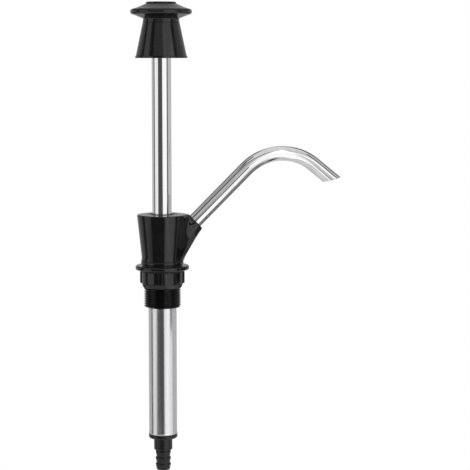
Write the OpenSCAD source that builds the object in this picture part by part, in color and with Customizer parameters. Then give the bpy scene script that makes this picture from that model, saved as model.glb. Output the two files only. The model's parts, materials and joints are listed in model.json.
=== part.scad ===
// Galley hand pump: a plunger with a mushroom knob, a head with a bent spout,
// a threaded deck fitting with its nut, a barrel and a hose tail with a foot valve.
// Millimetres. Z = 0 is the underside of the flange, where it sits on a worktop.
// The plunger runs on the Z axis and the spout leans towards +X.

/* [Knob] */
// Diameter of the knob's disc
knob_d = 55; // [50:0.5:60]
// Diameter of the flat on top of the disc
knob_flat_d = 26.6; // [20:0.1:32]
// Height of the cap above its joint with the skirt
cap_h = 18; // [16:0.5:22]
// Height from that joint to the middle of the disc's rim
rim_z = 9.4; // [8:0.1:12]
// Radius of the rounded rim
rim_r = 2.6; // [1:0.1:3]
// How hollow the crown is between rim and flat, where 1 is a straight cone
crown_curve = 1.15; // [1.05:0.05:1.8]
// Height of the cap's neck under the disc
neck_h = 3.2; // [2:0.1:5]
// Height of the straight part of the hollow inside the cap
cap_hollow_h = 7.3; // [6:0.1:9]
// Height of the conical skirt
skirt_h = 31.6; // [26:0.1:36]
// Skirt diameter where it meets the cap
skirt_top_d = 32.8; // [30:0.1:35]
// Skirt diameter at its open end
skirt_bottom_d = 46.2; // [42:0.1:50]
// Height of the lip around the open end
skirt_lip_h = 2; // [1:0.1:4]
// Wall of the knob's mouldings
knob_wall = 2.2; // [1.8:0.1:2.8]
// Depth of the rod in the knob's hub
hub_depth = 13; // [10:0.5:16]
// Height of the hub's mouth above the skirt's open end
hub_mouth = 3; // [1:0.5:6]
// Diameter of the knob's screw
screw_d = 4; // [3:0.5:5]
// Length of the screw under its head
screw_len = 20; // [16:1:24]
// Diameter of the washer under the screw's head
screw_washer_d = 10; // [9:0.5:12]
// Thickness of the ribs inside the skirt
skirt_rib_t = 1.6; // [1.2:0.1:2]

/* [Rod and piston] */
// Diameter of the plunger rod
rod_d = 17.4; // [15:0.1:18.4]
// Wall of the rod's tube
rod_wall = 1; // [0.8:0.1:1.4]
// Length of rod that shows when the plunger is up
rod_show = 139.7; // [126:0.1:160]
// Length of the plug in the rod's top end
rod_plug_len = 22; // [20:1:30]
// Thickness of the piston's flange
piston_flange_t = 4; // [3:0.5:6]
// Height of the piston's cup seal
cup_h = 6.2; // [5:0.1:8]
// Thickness of the washer under the cup seal
piston_washer_t = 1.2; // [0.8:0.1:2]
// Height of the piston's nut
piston_nut_h = 5; // [4:0.5:6]
// Size of the piston's nut across its flats
piston_nut_af = 17; // [15:0.5:18]
// Diameter of the piston's stem
stem_d = 12; // [11:0.5:13]
// Diameter of the piston's valve ball
piston_ball_d = 8.4; // [8:0.1:8.8]
// Lift of the piston's valve ball
piston_ball_lift = 3; // [2:0.1:3.5]
// Thickness of the piston's crown above its valve chamber
piston_crown_t = 3; // [2:0.5:4]
// Diameter of the side ports above the piston
port_d = 4.4; // [3:0.1:5]

/* [Pump head] */
// Height of the head's top above the worktop
head_h = 49.8; // [46:0.1:56]
// Diameter of the head at its top
head_top_d = 45.3; // [42:0.1:48]
// Diameter of the head at its foot
head_base_d = 36.4; // [34:0.1:37]
// Diameter of the bead around the foot
bead_d = 38.4; // [37:0.1:41]
// Height of the bead
bead_h = 3; // [2:0.1:4]
// Height of the plain neck between flange and bead
head_neck_h = 1.2; // [1:0.1:3]
// Diameter of the flange
flange_d = 48.4; // [46:0.1:54]
// Thickness of the flange
flange_t = 3.8; // [2.6:0.1:4.4]
// Diameter of the outlet chamber around the rod
chamber_d = 21.6; // [21:0.1:22]
// Diameter of the gland's pocket
gland_d = 26.4; // [25.4:0.1:27]
// Depth of the gland's pocket
gland_depth = 15; // [13:0.1:15.4]
// Thickness of the rod seal's cord
rod_seal_t = 2.6; // [2.2:0.1:3]
// Height of the rod wiper
wiper_h = 2.3; // [1.6:0.1:3]

/* [Spout] */
// Diameter of the spout's tube
spout_d = 13.5; // [12:0.1:14]
// Wall of the spout's tube
spout_wall = 1; // [0.8:0.1:1.4]
// Slope of the spout's straight leg in degrees
spout_slope = 44.8; // [42:0.1:48]
// Height where the spout's axis meets the pump's axis
spout_z = 13.6; // [11:0.1:15]
// Depth of the boss's top corner below the head's top
boss_drop = 0.2; // [0.2:0.1:2]
// Wall of the boss around the spout
boss_wall = 2; // [1.4:0.1:2.2]
// Slope of the web under the boss in degrees
web_slope = 59.5; // [56:0.5:62]
// Depth of the spout in the boss
socket_depth = 14; // [12:0.1:16]
// Length of straight leg that shows
spout_leg = 66.2; // [50:0.1:80]
// Radius of the bend on the tube's centreline
bend_r = 46.8; // [40:0.1:54]
// Turn of the bend in degrees
bend_turn = 84; // [75:0.5:95]
// Length of the straight tail after the bend
tail_leg = 21.8; // [16:0.1:28]
// Slant of the spout's end cut in degrees
cut_slant = 35; // [20:0.5:40]

/* [Thread and nut] */
// Outside diameter of the deck thread
thread_d = 33.3; // [33:0.1:34]
// Pitch of the deck thread
thread_pitch = 2.2087; // [2:0.0001:2.5]
// Depth of the deck thread
thread_depth = 1.45; // [1.2:0.01:1.5]
// Length of the threaded shank below the flange
shank_len = 34.1; // [32:0.1:40]
// Thickness of the deck gasket
gasket_t = 1.8; // [1.7:0.1:2]
// Diameter of the deck gasket
gasket_d = 41.4; // [40.8:0.1:42]
// Depth of the gasket's recess in the flange
recess_h = 1.5; // [1.2:0.1:1.6]
// Thickness of the nut's slip washer
slip_washer_t = 1; // [0.8:0.1:1.5]
// Height of the nut
nut_h = 14.5; // [12:0.1:16]
// Diameter of the nut's round body
nut_d = 37.6; // [37:0.1:39]
// Diameter over the nut's grip ribs
nut_rib_d = 40.2; // [39.4:0.1:40.6]
// Width of a grip rib
nut_rib_w = 4.4; // [3:0.1:6]
// Length of a grip rib
nut_rib_len = 10.6; // [8:0.1:11]
// Turn of the nut's ribs from the side of the spout in degrees
nut_rib_turn = 12; // [0:1:45]
// Height of the taper at the nut's lower end
nut_taper_h = 3.7; // [2:0.1:5]
// Travel of the nut along the thread, in turns
nut_turns = 7; // [4:1:7]

/* [Barrel and hose tail] */
// Outside diameter of the barrel
barrel_d = 25.4; // [25.2:0.1:25.8]
// Wall of the barrel
barrel_wall = 0.9; // [0.7:0.1:1.1]
// Length of barrel that shows below the thread
barrel_show = 117; // [105:0.5:130]
// Height of the barrel's stop above the worktop
barrel_stop_z = 6; // [5:0.1:7]
// Thickness of the barrel's top gasket
barrel_gasket_t = 1.2; // [0.8:0.1:2]
// Diameter of the hose tail's lip
lip_d = 26; // [25.9:0.1:28]
// Height of the hose tail's lip
lip_h = 3.7; // [2:0.1:5]
// Diameter of the hose tail's stem
tail_stem_d = 16.7; // [15:0.1:18]
// Length of the hose tail's stem
tail_stem_h = 11.1; // [8:0.1:14]
// Diameter over the hose barbs
barb_d = 13.9; // [13:0.1:14.5]
// Depth of the hose barbs
barb_depth = 0.8; // [0.5:0.1:1]
// Spacing of the hose barbs
barb_pitch = 5.8; // [5:0.1:6]
// Length of the cylindrical crest of a barb
barb_land = 0.8; // [0.5:0.1:1.2]
// Length of the barbed spigot
barb_len = 18.7; // [18.5:0.1:22]
// Diameter of the waterway
waterway_d = 7.6; // [7:0.1:7.7]
// Height of the hose tail's plug in the barrel
plug_h = 13; // [12.5:0.1:16]
// Depth of the foot valve's seat below the plug's top
foot_seat_depth = 10; // [9.5:0.1:11]
// Depth of the plug's O-ring below the plug's top
plug_seal_drop = 4.4; // [3:0.1:6]
// Diameter of the foot valve's ball
foot_ball_d = 11; // [11:0.1:12]
// Lift of the foot valve's ball
foot_ball_lift = 3.5; // [2:0.1:4.5]
// Thickness of the plug's O-ring cord
plug_seal_t = 2; // [1.6:0.1:2.4]
// Wall of the foot valve's cage
cage_wall = 1.4; // [1:0.1:2]

/* [Clearances] */
// Radial clearance of a running fit
run_gap = 0.05; // [0.02:0.01:0.08]
// Radial clearance of a pressed or bonded fit
fit_gap = 0.04; // [0.02:0.01:0.06]
// Clearance between faces that move past each other
turn_gap = 0.3; // [0.25:0.05:0.4]

/* [Hidden] */
$fn = 64;
eps = 0.01;
rod_r = rod_d / 2;
rod_in_r = rod_r - rod_wall;
knob_r = knob_d / 2;
skirt_z0 = head_h + rod_show;
cap_z0 = skirt_z0 + skirt_h;
skirt_top_r = skirt_top_d / 2;
skirt_bottom_r = skirt_bottom_d / 2;
skirt_lean = (skirt_bottom_r - skirt_top_r) / skirt_h;
web_z0 = skirt_z0 + hub_mouth + hub_depth;
web_z1 = web_z0 + knob_wall + 0.8;
hub_r = rod_r + fit_gap + knob_wall;
cap_neck_r = skirt_top_r - skirt_lean * neck_h + 0.2;
cap_spigot_r = skirt_top_r - knob_wall - fit_gap;
cap_spigot_h = 6;
screw_washer_t = 1;
screw_washer_r = screw_washer_d / 2;
screw_head_r = screw_d / 2 + 2.2;
screw_head_h = screw_d * 0.65;
chamber_r = chamber_d / 2;
gland_r = gland_d / 2;
gland_z0 = head_h - gland_depth;
guide_h = 6;
seal_z0 = gland_z0 + guide_h;
seal_z1 = seal_z0 + rod_seal_t + 0.4;
rod_seal_r = rod_r + run_gap + rod_seal_t / 2;
seal_room_r = rod_r + rod_seal_t + 0.3;
gland_top = head_h - 0.3;
wiper_out_r = rod_r + 1.9;
bead_z0 = flange_t + head_neck_h;
bead_z1 = bead_z0 + bead_h;
head_neck_r = head_base_d / 2 + 0.1;
flange_r = flange_d / 2;
thread_r = thread_d / 2;
thread_root_r = thread_r - thread_depth;
thread_rings = floor((shank_len - recess_h - 0.8) / thread_pitch);
gasket_r = gasket_d / 2;
recess_r = gasket_r + 0.2;
gasket_low = recess_h - gasket_t;
slip_washer_z1 = gasket_low - turn_gap;
slip_washer_z0 = slip_washer_z1 - slip_washer_t;
nut_z1 = slip_washer_z0 - run_gap;
nut_z0 = nut_z1 - nut_h;
nut_bore_r = thread_r + turn_gap;
nut_r = nut_d / 2;
nut_travel = nut_turns * thread_pitch;
barrel_r = barrel_d / 2;
barrel_in_r = barrel_r - barrel_wall;
barrel_z1 = barrel_stop_z - barrel_gasket_t;
barrel_z0 = -shank_len - barrel_show;
barrel_bore_r = barrel_r + fit_gap;
boss_r = spout_d / 2 + fit_gap + boss_wall;
boss_rise = head_h - boss_drop - boss_r * cos(spout_slope) - spout_z;
boss_len = boss_rise / sin(spout_slope);
web_r = boss_r - 0.6;
boss_x = boss_len * cos(spout_slope);
boss_z = spout_z + boss_len * sin(spout_slope);
spout_r = spout_d / 2;
spout_in_r = spout_r - spout_wall;
outlet_r = spout_in_r - 0.4;
piston_top = barrel_stop_z - turn_gap;
flange_low = piston_top - piston_flange_t;
cup_z1 = flange_low - run_gap;
cup_z0 = cup_z1 - cup_h;
piston_washer_z1 = cup_z0 - run_gap;
piston_washer_z0 = piston_washer_z1 - piston_washer_t;
piston_nut_z0 = piston_washer_z0 - piston_nut_h;
piston_low = piston_nut_z0 - 1.2;
stem_r = stem_d / 2;
piston_r = barrel_in_r - 0.4;
piston_ball_r = piston_ball_d / 2;
piston_way_r = piston_ball_r * 0.69;
piston_room_r = piston_ball_r + 1;
piston_seat_z = flange_low + 1.2;
piston_ball_z = piston_seat_z - piston_way_r + (piston_ball_r + run_gap) * sqrt(2);
piston_roof_z = piston_ball_z + piston_ball_r + piston_ball_lift + 0.2;
spigot_top = piston_roof_z + piston_crown_t;
port_z = piston_top + 1.4 + port_d / 2;
lip_z0 = barrel_z0 - lip_h;
stem_z0 = lip_z0 - tail_stem_h;
barb_z0 = stem_z0 - barb_len;
barb_r = barb_d / 2;
barb_root_r = barb_r - barb_depth;
waterway_r = waterway_d / 2;
plug_top = barrel_z0 + plug_h;
plug_r = barrel_in_r - fit_gap;
foot_ball_r = foot_ball_d / 2;
foot_room_r = foot_ball_r + 1.1;
foot_seat_z = plug_top - foot_seat_depth;
foot_ball_z = foot_seat_z - waterway_r + (foot_ball_r + run_gap) * sqrt(2);
cage_roof_z = foot_ball_z + foot_ball_r + foot_ball_lift + 0.2;
cage_top = cage_roof_z + cage_wall;
cage_r = barrel_in_r - 0.9;
plug_seal_z = plug_top - plug_seal_drop;
stroke = piston_low - cage_top - 1.5;

echo(stroke = stroke, nut_travel = nut_travel, barb_end = barb_z0);

// A plain ring between two radii and two heights
module ring(inner, outer, low, high) {
  translate([0, 0, low])
    difference() {
      cylinder(r = outer, h = high - low);
      translate([0, 0, -eps])
        cylinder(r = inner, h = high - low + 2 * eps);
    }
}

// A round cord bent into a ring
module cord_ring(middle, thick, height) {
  translate([0, 0, height])
    rotate_extrude()
      translate([middle, 0])
        circle(d = thick);
}

// Puts its children on the spout's axis, with Z along the straight leg
module along_spout() {
  translate([0, 0, spout_z])
    rotate([0, 90 - spout_slope, 0])
      children();
}

module knob_cap() {
  rim = cap_z0 + rim_z;
  top = cap_z0 + cap_h;
  flat_r = knob_flat_d / 2;
  rim_in = knob_r - rim_r;
  hat_r = rim_in - flat_r - 0.6;
  hat_h = top - 1.2 - rim - rim_r;
  hat = [for (i = [0 : 8])
    [rim_in - hat_r * i / 8, rim + rim_r + hat_h * pow(i / 8, crown_curve)]];
  color([0.06, 0.06, 0.065])
    difference() {
      union() {
        rotate_extrude()
          polygon(concat(
            [[0, cap_z0], [skirt_top_r - 0.3, cap_z0], [skirt_top_r, cap_z0 + 0.3],
             [cap_neck_r, cap_z0 + neck_h], [rim_in, rim - rim_r]],
            hat,
            [[flat_r, top - 0.5], [flat_r - 0.5, top], [0, top]]));
        translate([0, 0, rim])
          rotate_extrude()
            translate([rim_in, 0])
              circle(r = rim_r);
        ring(cap_spigot_r - knob_wall, cap_spigot_r, cap_z0 - cap_spigot_h, cap_z0 + eps);
      }
      translate([0, 0, cap_z0 - eps])
        cylinder(r = cap_spigot_r - knob_wall, h = cap_hollow_h);
      translate([0, 0, cap_z0 + cap_hollow_h - 2 * eps])
        cylinder(r1 = cap_spigot_r - knob_wall, r2 = flat_r - knob_wall - 1,
          h = cap_h - cap_hollow_h - knob_wall);
    }
}

module knob_skirt() {
  color([0.06, 0.06, 0.065])
    difference() {
      union() {
        difference() {
          union() {
            translate([0, 0, skirt_z0])
              cylinder(r1 = skirt_bottom_r, r2 = skirt_top_r, h = skirt_h);
            translate([0, 0, skirt_z0])
              cylinder(r = skirt_bottom_r + 0.2, h = skirt_lip_h);
          }
          translate([0, 0, skirt_z0 - eps])
            cylinder(r1 = skirt_bottom_r - knob_wall + eps * skirt_lean,
              r2 = skirt_top_r - knob_wall, h = skirt_h + 2 * eps);
        }
        translate([0, 0, web_z0])
          cylinder(r1 = skirt_bottom_r - skirt_lean * (web_z0 - skirt_z0) - 0.5,
            r2 = skirt_bottom_r - skirt_lean * (web_z1 - skirt_z0) - 0.5,
            h = web_z1 - web_z0);
        translate([0, 0, skirt_z0 + hub_mouth])
          cylinder(r = hub_r, h = hub_depth + eps);
        intersection() {
          translate([0, 0, skirt_z0])
            cylinder(r1 = skirt_bottom_r - 0.5, r2 = skirt_top_r - 0.5, h = skirt_h);
          for (turn = [45 : 90 : 315])
            rotate(turn)
              translate([0, -skirt_rib_t / 2, skirt_z0 + 2 * hub_mouth])
                cube([skirt_bottom_r, skirt_rib_t, hub_depth - hub_mouth + eps]);
        }
      }
      translate([0, 0, skirt_z0 + hub_mouth - eps])
        cylinder(r = rod_r + fit_gap, h = hub_depth + eps);
      translate([0, 0, web_z0 - eps])
        cylinder(d = screw_d + 2 * fit_gap, h = web_z1 - web_z0 + 2 * eps);
    }
}

module knob_washer() {
  color([0.6, 0.6, 0.62])
    ring(screw_d / 2 + fit_gap, screw_washer_r, web_z1, web_z1 + screw_washer_t);
}

module knob_screw() {
  seat = web_z1 + screw_washer_t;
  color([0.6, 0.6, 0.62])
    difference() {
      union() {
        translate([0, 0, seat])
          cylinder(r = screw_head_r, h = screw_head_h);
        translate([0, 0, seat - screw_len])
          cylinder(d = screw_d, h = screw_len + eps);
        translate([0, 0, seat - screw_len - screw_d / 2])
          cylinder(d1 = 0.6, d2 = screw_d, h = screw_d / 2 + eps);
      }
      for (turn = [0, 90])
        rotate(turn)
          translate([-screw_d / 2, -0.4, seat + screw_head_h / 2])
            cube([screw_d, 0.8, screw_head_h]);
    }
}

module rod_plug() {
  color([0.85, 0.84, 0.8])
    difference() {
      translate([0, 0, web_z0 - rod_plug_len])
        cylinder(r = rod_in_r - fit_gap, h = rod_plug_len);
      translate([0, 0, web_z0 - rod_plug_len - eps])
        cylinder(d = screw_d + 2 * fit_gap, h = rod_plug_len + 2 * eps);
    }
}

module rod_tube() {
  color([0.82, 0.82, 0.84])
    difference() {
      ring(rod_in_r, rod_r, piston_top, web_z0);
      side_ports(rod_r + 1);
    }
}

// Two crossed drillings above the piston's flange
module side_ports(reach) {
  translate([0, 0, port_z])
    for (turn = [0, 90])
      rotate([90, 0, turn])
        cylinder(d = port_d, h = 2 * reach, center = true);
}

module piston_body() {
  color([0.9, 0.9, 0.86])
    difference() {
      union() {
        translate([0, 0, piston_top - eps])
          cylinder(r = rod_in_r - fit_gap, h = spigot_top - piston_top + eps);
        translate([0, 0, flange_low])
          cylinder(r = piston_r, h = piston_flange_t);
        translate([0, 0, piston_low])
          cylinder(r = stem_r, h = flange_low - piston_low + eps);
      }
      translate([0, 0, piston_low - eps])
        cylinder(r = piston_way_r, h = piston_seat_z - piston_low + 2 * eps);
      translate([0, 0, piston_seat_z])
        cylinder(r1 = piston_way_r, r2 = piston_room_r, h = piston_room_r - piston_way_r);
      translate([0, 0, piston_seat_z + piston_room_r - piston_way_r - eps])
        cylinder(r = piston_room_r,
          h = piston_roof_z - piston_seat_z - piston_room_r + piston_way_r + eps);
      side_ports(rod_r + 1);
    }
}

module piston_cup() {
  lip = barrel_in_r - run_gap;
  color([0.04, 0.04, 0.04])
    rotate_extrude()
      polygon([[stem_r + run_gap, cup_z0], [lip - 0.6, cup_z0], [lip, cup_z0 + 0.8],
        [lip, cup_z1], [lip - 1.2, cup_z1], [lip - 1.7, cup_z1 - 2.6],
        [stem_r + 2, cup_z1 - 2.6], [stem_r + 1.6, cup_z1], [stem_r + run_gap, cup_z1]]);
}

module piston_washer() {
  color([0.6, 0.6, 0.62])
    ring(stem_r + fit_gap, piston_r - 0.6, piston_washer_z0, piston_washer_z1);
}

module piston_nut() {
  color([0.75, 0.6, 0.3])
    difference() {
      translate([0, 0, piston_nut_z0])
        cylinder(d = piston_nut_af / cos(30), h = piston_nut_h, $fn = 6);
      translate([0, 0, piston_nut_z0 - eps])
        cylinder(r = stem_r + fit_gap, h = piston_nut_h + 2 * eps);
    }
}

module piston_ball() {
  color([0.7, 0.7, 0.72])
    translate([0, 0, piston_ball_z])
      sphere(r = piston_ball_r);
}

// The closed outside of the head: cone, spout boss, web, bead, flange and shank
module head_outside() {
  corner = boss_r - 0.2;
  web_axis_x = boss_x + corner * sin(spout_slope) - web_r * sin(web_slope);
  web_axis_z = boss_z - corner * cos(spout_slope) + web_r * cos(web_slope);
  thread = [for (i = [0 : thread_rings - 1]) each
    [[thread_root_r, -shank_len + 0.5 + thread_pitch * (i + 0.05)],
     [thread_r, -shank_len + 0.5 + thread_pitch * (i + 0.38)],
     [thread_r, -shank_len + 0.5 + thread_pitch * (i + 0.62)],
     [thread_root_r, -shank_len + 0.5 + thread_pitch * (i + 0.95)]]];
  translate([0, 0, bead_z1 - eps])
    cylinder(r1 = head_base_d / 2, r2 = head_top_d / 2, h = head_h - bead_z1 + eps);
  intersection() {
    union() {
      along_spout()
        cylinder(r = boss_r, h = boss_len);
      translate([web_axis_x, 0, web_axis_z])
        rotate([0, 90 - web_slope, 0])
          translate([0, 0, -2 * boss_len])
            cylinder(r = web_r, h = 3 * boss_len);
    }
    along_spout()
      translate([-2 * boss_len, -2 * boss_len, -2 * boss_len])
        cube([4 * boss_len, 4 * boss_len, 3 * boss_len]);
    translate([0, -head_h, bead_z1 - 1])
      cube([2 * head_h, 2 * head_h, head_h - bead_z1 + 1]);
  }
  rotate_extrude()
    polygon(concat(
      [[0, -shank_len], [thread_root_r - 0.6, -shank_len]],
      thread,
      [[thread_root_r, 0], [flange_r - 0.7, 0], [flange_r, 1], [flange_r, flange_t - 1],
       [flange_r - 1, flange_t], [head_neck_r, flange_t], [head_neck_r, bead_z0],
       [bead_d / 2 - 0.7, bead_z0], [bead_d / 2, bead_z0 + 0.8],
       [bead_d / 2, bead_z1 - 0.8], [bead_d / 2 - 0.8, bead_z1], [0, bead_z1]]));
}

module pump_head() {
  color([0.05, 0.05, 0.055])
    difference() {
      head_outside();
      translate([0, 0, -shank_len - 1])
        cylinder(r = barrel_bore_r, h = shank_len + 1 + barrel_stop_z);
      cylinder(r = chamber_r, h = head_h);
      translate([0, 0, gland_z0])
        cylinder(r = gland_r, h = gland_depth + 1);
      ring(thread_root_r, recess_r, -1, recess_h);
      along_spout()
        translate([0, 0, boss_len - socket_depth])
          cylinder(r = spout_r + fit_gap, h = socket_depth + 1);
      along_spout()
        cylinder(r = outlet_r, h = boss_len);
    }
}

module rod_guide() {
  color([0.85, 0.84, 0.8])
    rotate_extrude()
      polygon([[rod_r + run_gap, gland_z0], [gland_r - fit_gap, gland_z0],
        [gland_r - fit_gap, seal_z1], [seal_room_r, seal_z1], [seal_room_r, seal_z0],
        [rod_r + run_gap, seal_z0]]);
}

module rod_seal() {
  color([0.04, 0.04, 0.04])
    cord_ring(rod_seal_r, rod_seal_t, (seal_z0 + seal_z1) / 2);
}

module gland_cap() {
  out = gland_r - fit_gap;
  wiper_seat = gland_top - wiper_h;
  color([0.05, 0.05, 0.055])
    rotate_extrude()
      polygon([[rod_r + run_gap, seal_z1], [out, seal_z1], [out, gland_top - 0.5],
        [out - 0.5, gland_top], [wiper_out_r + fit_gap, gland_top],
        [wiper_out_r + fit_gap, wiper_seat], [rod_r + run_gap, wiper_seat]]);
}

module rod_wiper() {
  seat = gland_top - wiper_h;
  color([0.04, 0.04, 0.04])
    rotate_extrude()
      polygon([[rod_r + run_gap, seat], [wiper_out_r, seat], [wiper_out_r, gland_top - 0.2],
        [rod_r + run_gap, gland_top + 0.2]]);
}

module spout_tube() {
  leg = socket_depth + spout_leg;
  color([0.84, 0.84, 0.86])
    along_spout()
      translate([0, 0, boss_len - socket_depth])
        difference() {
          spout_rod(spout_r, leg, 0);
          spout_rod(spout_in_r, leg, eps);
          translate([bend_r, 0, leg])
            rotate([0, bend_turn, 0])
              translate([-bend_r, 0, tail_leg])
                rotate([0, cut_slant, 0])
                  translate([-3 * spout_d, -3 * spout_d, 0])
                    cube([6 * spout_d, 6 * spout_d, 6 * spout_d]);
        }
}

// Leg, bend and tail, starting at the spout's inner end. The tail is a hair
// wider and starts inside the bend, so that the two join as one solid.
module spout_rod(radius, leg, over) {
  seam = 0.02;
  translate([0, 0, -over])
    cylinder(r = radius, h = leg + over);
  translate([bend_r, 0, leg]) {
    rotate([90, 0, 180])
      rotate_extrude(angle = bend_turn)
        translate([bend_r, 0])
          circle(r = radius);
    rotate([0, bend_turn, 0])
      translate([-bend_r, 0, -0.5])
        cylinder(r = radius + seam, h = tail_leg + spout_d);
  }
}

module deck_gasket() {
  color([0.04, 0.04, 0.04])
    ring(thread_r + 0.1, gasket_r, gasket_low, recess_h);
}

module slip_washer() {
  color([0.12, 0.12, 0.12])
    ring(nut_bore_r, nut_rib_d / 2 - 0.2, slip_washer_z0, slip_washer_z1);
}

module deck_nut() {
  color([0.06, 0.06, 0.065])
    difference() {
      union() {
        rotate_extrude()
          polygon([[nut_bore_r, nut_z0], [nut_r - 1.4, nut_z0], [nut_r, nut_z0 + nut_taper_h],
            [nut_r, nut_z1 - 0.3], [nut_r - 0.3, nut_z1], [nut_bore_r, nut_z1]]);
        for (turn = [0 : 90 : 270])
          rotate(turn - nut_rib_turn)
            intersection() {
              ring(nut_bore_r + 0.5, nut_rib_d / 2, nut_z1 - nut_rib_len, nut_z1);
              translate([0, -nut_rib_w / 2, nut_z1 - nut_rib_len])
                cube([nut_rib_d, nut_rib_w, nut_rib_len]);
            }
      }
      translate([0, 0, nut_z0 - eps])
        cylinder(r1 = nut_bore_r + 0.3, r2 = nut_bore_r - eps, h = 0.3);
    }
}

module barrel_tube() {
  color([0.72, 0.72, 0.75])
    ring(barrel_in_r, barrel_r, barrel_z0, barrel_z1);
}

module barrel_gasket() {
  color([0.04, 0.04, 0.04])
    ring(barrel_in_r + 0.1, barrel_r - 0.05, barrel_z1, barrel_stop_z);
}

module hose_tail() {
  lead = barb_root_r - 0.5;
  first = stem_z0 - 1.2;
  slope_h = barb_pitch - barb_land;
  barbs = [for (i = [2 : -1 : 0]) each
    [[barb_root_r, first - barb_pitch * i - barb_land - slope_h * 0.75],
     [barb_r, first - barb_pitch * i - barb_land],
     [barb_r, first - barb_pitch * i],
     [barb_root_r, first - barb_pitch * i]]];
  groove_r = plug_r - plug_seal_t * 0.85;
  groove_h = plug_seal_t / 2 + 0.2;
  color([0.05, 0.05, 0.055])
    rotate_extrude()
      polygon(concat(
          [[waterway_r, barb_z0], [lead, barb_z0], [barb_root_r, barb_z0 + 0.8]],
          barbs,
          [[barb_root_r, stem_z0], [tail_stem_d / 2 - 1.2, stem_z0],
           [tail_stem_d / 2, stem_z0 + 1.2], [tail_stem_d / 2, lip_z0 - 1],
           [tail_stem_d / 2 + 1, lip_z0], [lip_d / 2 - 0.5, lip_z0],
           [lip_d / 2, lip_z0 + 0.5], [lip_d / 2, barrel_z0 - 0.4],
           [lip_d / 2 - 0.4, barrel_z0], [plug_r, barrel_z0],
           [plug_r, plug_seal_z - groove_h], [groove_r, plug_seal_z - groove_h],
           [groove_r, plug_seal_z + groove_h], [plug_r, plug_seal_z + groove_h],
           [plug_r, plug_top - 0.6], [plug_r - 0.6, plug_top],
           [foot_room_r, plug_top], [foot_room_r, foot_seat_z + foot_room_r - waterway_r],
           [waterway_r, foot_seat_z]]));
}

module plug_seal() {
  groove_r = plug_r - plug_seal_t * 0.85;
  color([0.04, 0.04, 0.04])
    rotate_extrude()
      polygon([[groove_r, plug_seal_z - plug_seal_t / 2], [plug_r - 0.3, plug_seal_z - plug_seal_t / 2],
        [plug_r, plug_seal_z - plug_seal_t / 4], [plug_r, plug_seal_z + plug_seal_t / 4],
        [plug_r - 0.3, plug_seal_z + plug_seal_t / 2], [groove_r, plug_seal_z + plug_seal_t / 2]]);
}

module foot_ball() {
  color([0.7, 0.7, 0.72])
    translate([0, 0, foot_ball_z])
      sphere(r = foot_ball_r);
}

module foot_cage() {
  color([0.85, 0.84, 0.8])
    difference() {
      translate([0, 0, plug_top])
        cylinder(r = cage_r, h = cage_top - plug_top);
      translate([0, 0, plug_top - eps])
        cylinder(r = foot_room_r + 0.4, h = cage_roof_z - plug_top + eps);
      for (turn = [0 : 60 : 300])
        rotate(turn)
          translate([foot_room_r - 1.4, 0, cage_roof_z - eps])
            cylinder(r = 1.7, h = cage_wall + 2 * eps);
    }
}

knob_cap();
knob_skirt();
knob_screw();
knob_washer();
rod_plug();
rod_tube();
piston_body();
piston_cup();
piston_washer();
piston_nut();
piston_ball();
pump_head();
gland_cap();
rod_wiper();
rod_seal();
rod_guide();
spout_tube();
deck_gasket();
slip_washer();
deck_nut();
barrel_tube();
barrel_gasket();
hose_tail();
plug_seal();
foot_ball();
foot_cage();
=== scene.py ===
# %% [markdown]
# # A galley hand pump
# The pump stands in a worktop: a plunger with a mushroom knob slides in a black head, water comes
# out of a bent chrome spout, and a metal barrel with a hose tail hangs below the deck nut.
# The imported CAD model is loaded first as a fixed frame. Each piece that shows is then modelled
# again in its place with soft edges and a real thread, and rides on the body that carries it.
# The pump's lengths are in millimetres, as on a drawing, and become metres where they are used.
# The camera, the softboxes and the floor are in metres.

import json
from math import ceil, cos, pi, radians, sin

import bmesh
import bpy
import numpy as np
from mathutils import Matrix, Vector


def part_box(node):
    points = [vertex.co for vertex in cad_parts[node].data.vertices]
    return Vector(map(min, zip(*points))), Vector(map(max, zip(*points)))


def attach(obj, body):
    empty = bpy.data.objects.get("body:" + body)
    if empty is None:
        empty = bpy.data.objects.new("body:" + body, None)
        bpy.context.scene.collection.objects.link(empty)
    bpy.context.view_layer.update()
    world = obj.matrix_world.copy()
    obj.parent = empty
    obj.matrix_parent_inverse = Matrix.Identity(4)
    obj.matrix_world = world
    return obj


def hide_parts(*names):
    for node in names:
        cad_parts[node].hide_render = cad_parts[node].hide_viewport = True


MM = 0.001
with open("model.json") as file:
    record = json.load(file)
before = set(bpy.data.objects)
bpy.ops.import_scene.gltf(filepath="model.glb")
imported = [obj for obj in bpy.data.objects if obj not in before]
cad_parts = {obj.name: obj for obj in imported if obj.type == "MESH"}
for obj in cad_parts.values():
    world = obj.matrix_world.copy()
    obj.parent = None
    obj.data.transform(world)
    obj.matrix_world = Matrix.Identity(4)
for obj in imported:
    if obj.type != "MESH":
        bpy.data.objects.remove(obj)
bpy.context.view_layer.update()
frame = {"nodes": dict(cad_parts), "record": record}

# %% [markdown]
# ## The camera
# The photograph was taken with a long lens from about the height of the knob, looking slightly
# down. The pump stands turned a little on its axis, so that the spout leans away from the
# camera. The pump keeps its frame here, so the camera and the studio are turned the other way
# instead: a place in the studio is written as seen from the front, and from_front turns it about
# the pump's axis.

# %% Camera
CAMERA_PLACE = (0.0656, -1.4327, 0.1905)
CAMERA_PITCH = 6.35
CAMERA_LENS = 122.55
SENSOR_WIDTH = 36
VIEW_TURN = -10.0


def from_front(spot):
    return Matrix.Rotation(radians(VIEW_TURN), 3, "Z") @ Vector(spot)


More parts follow.
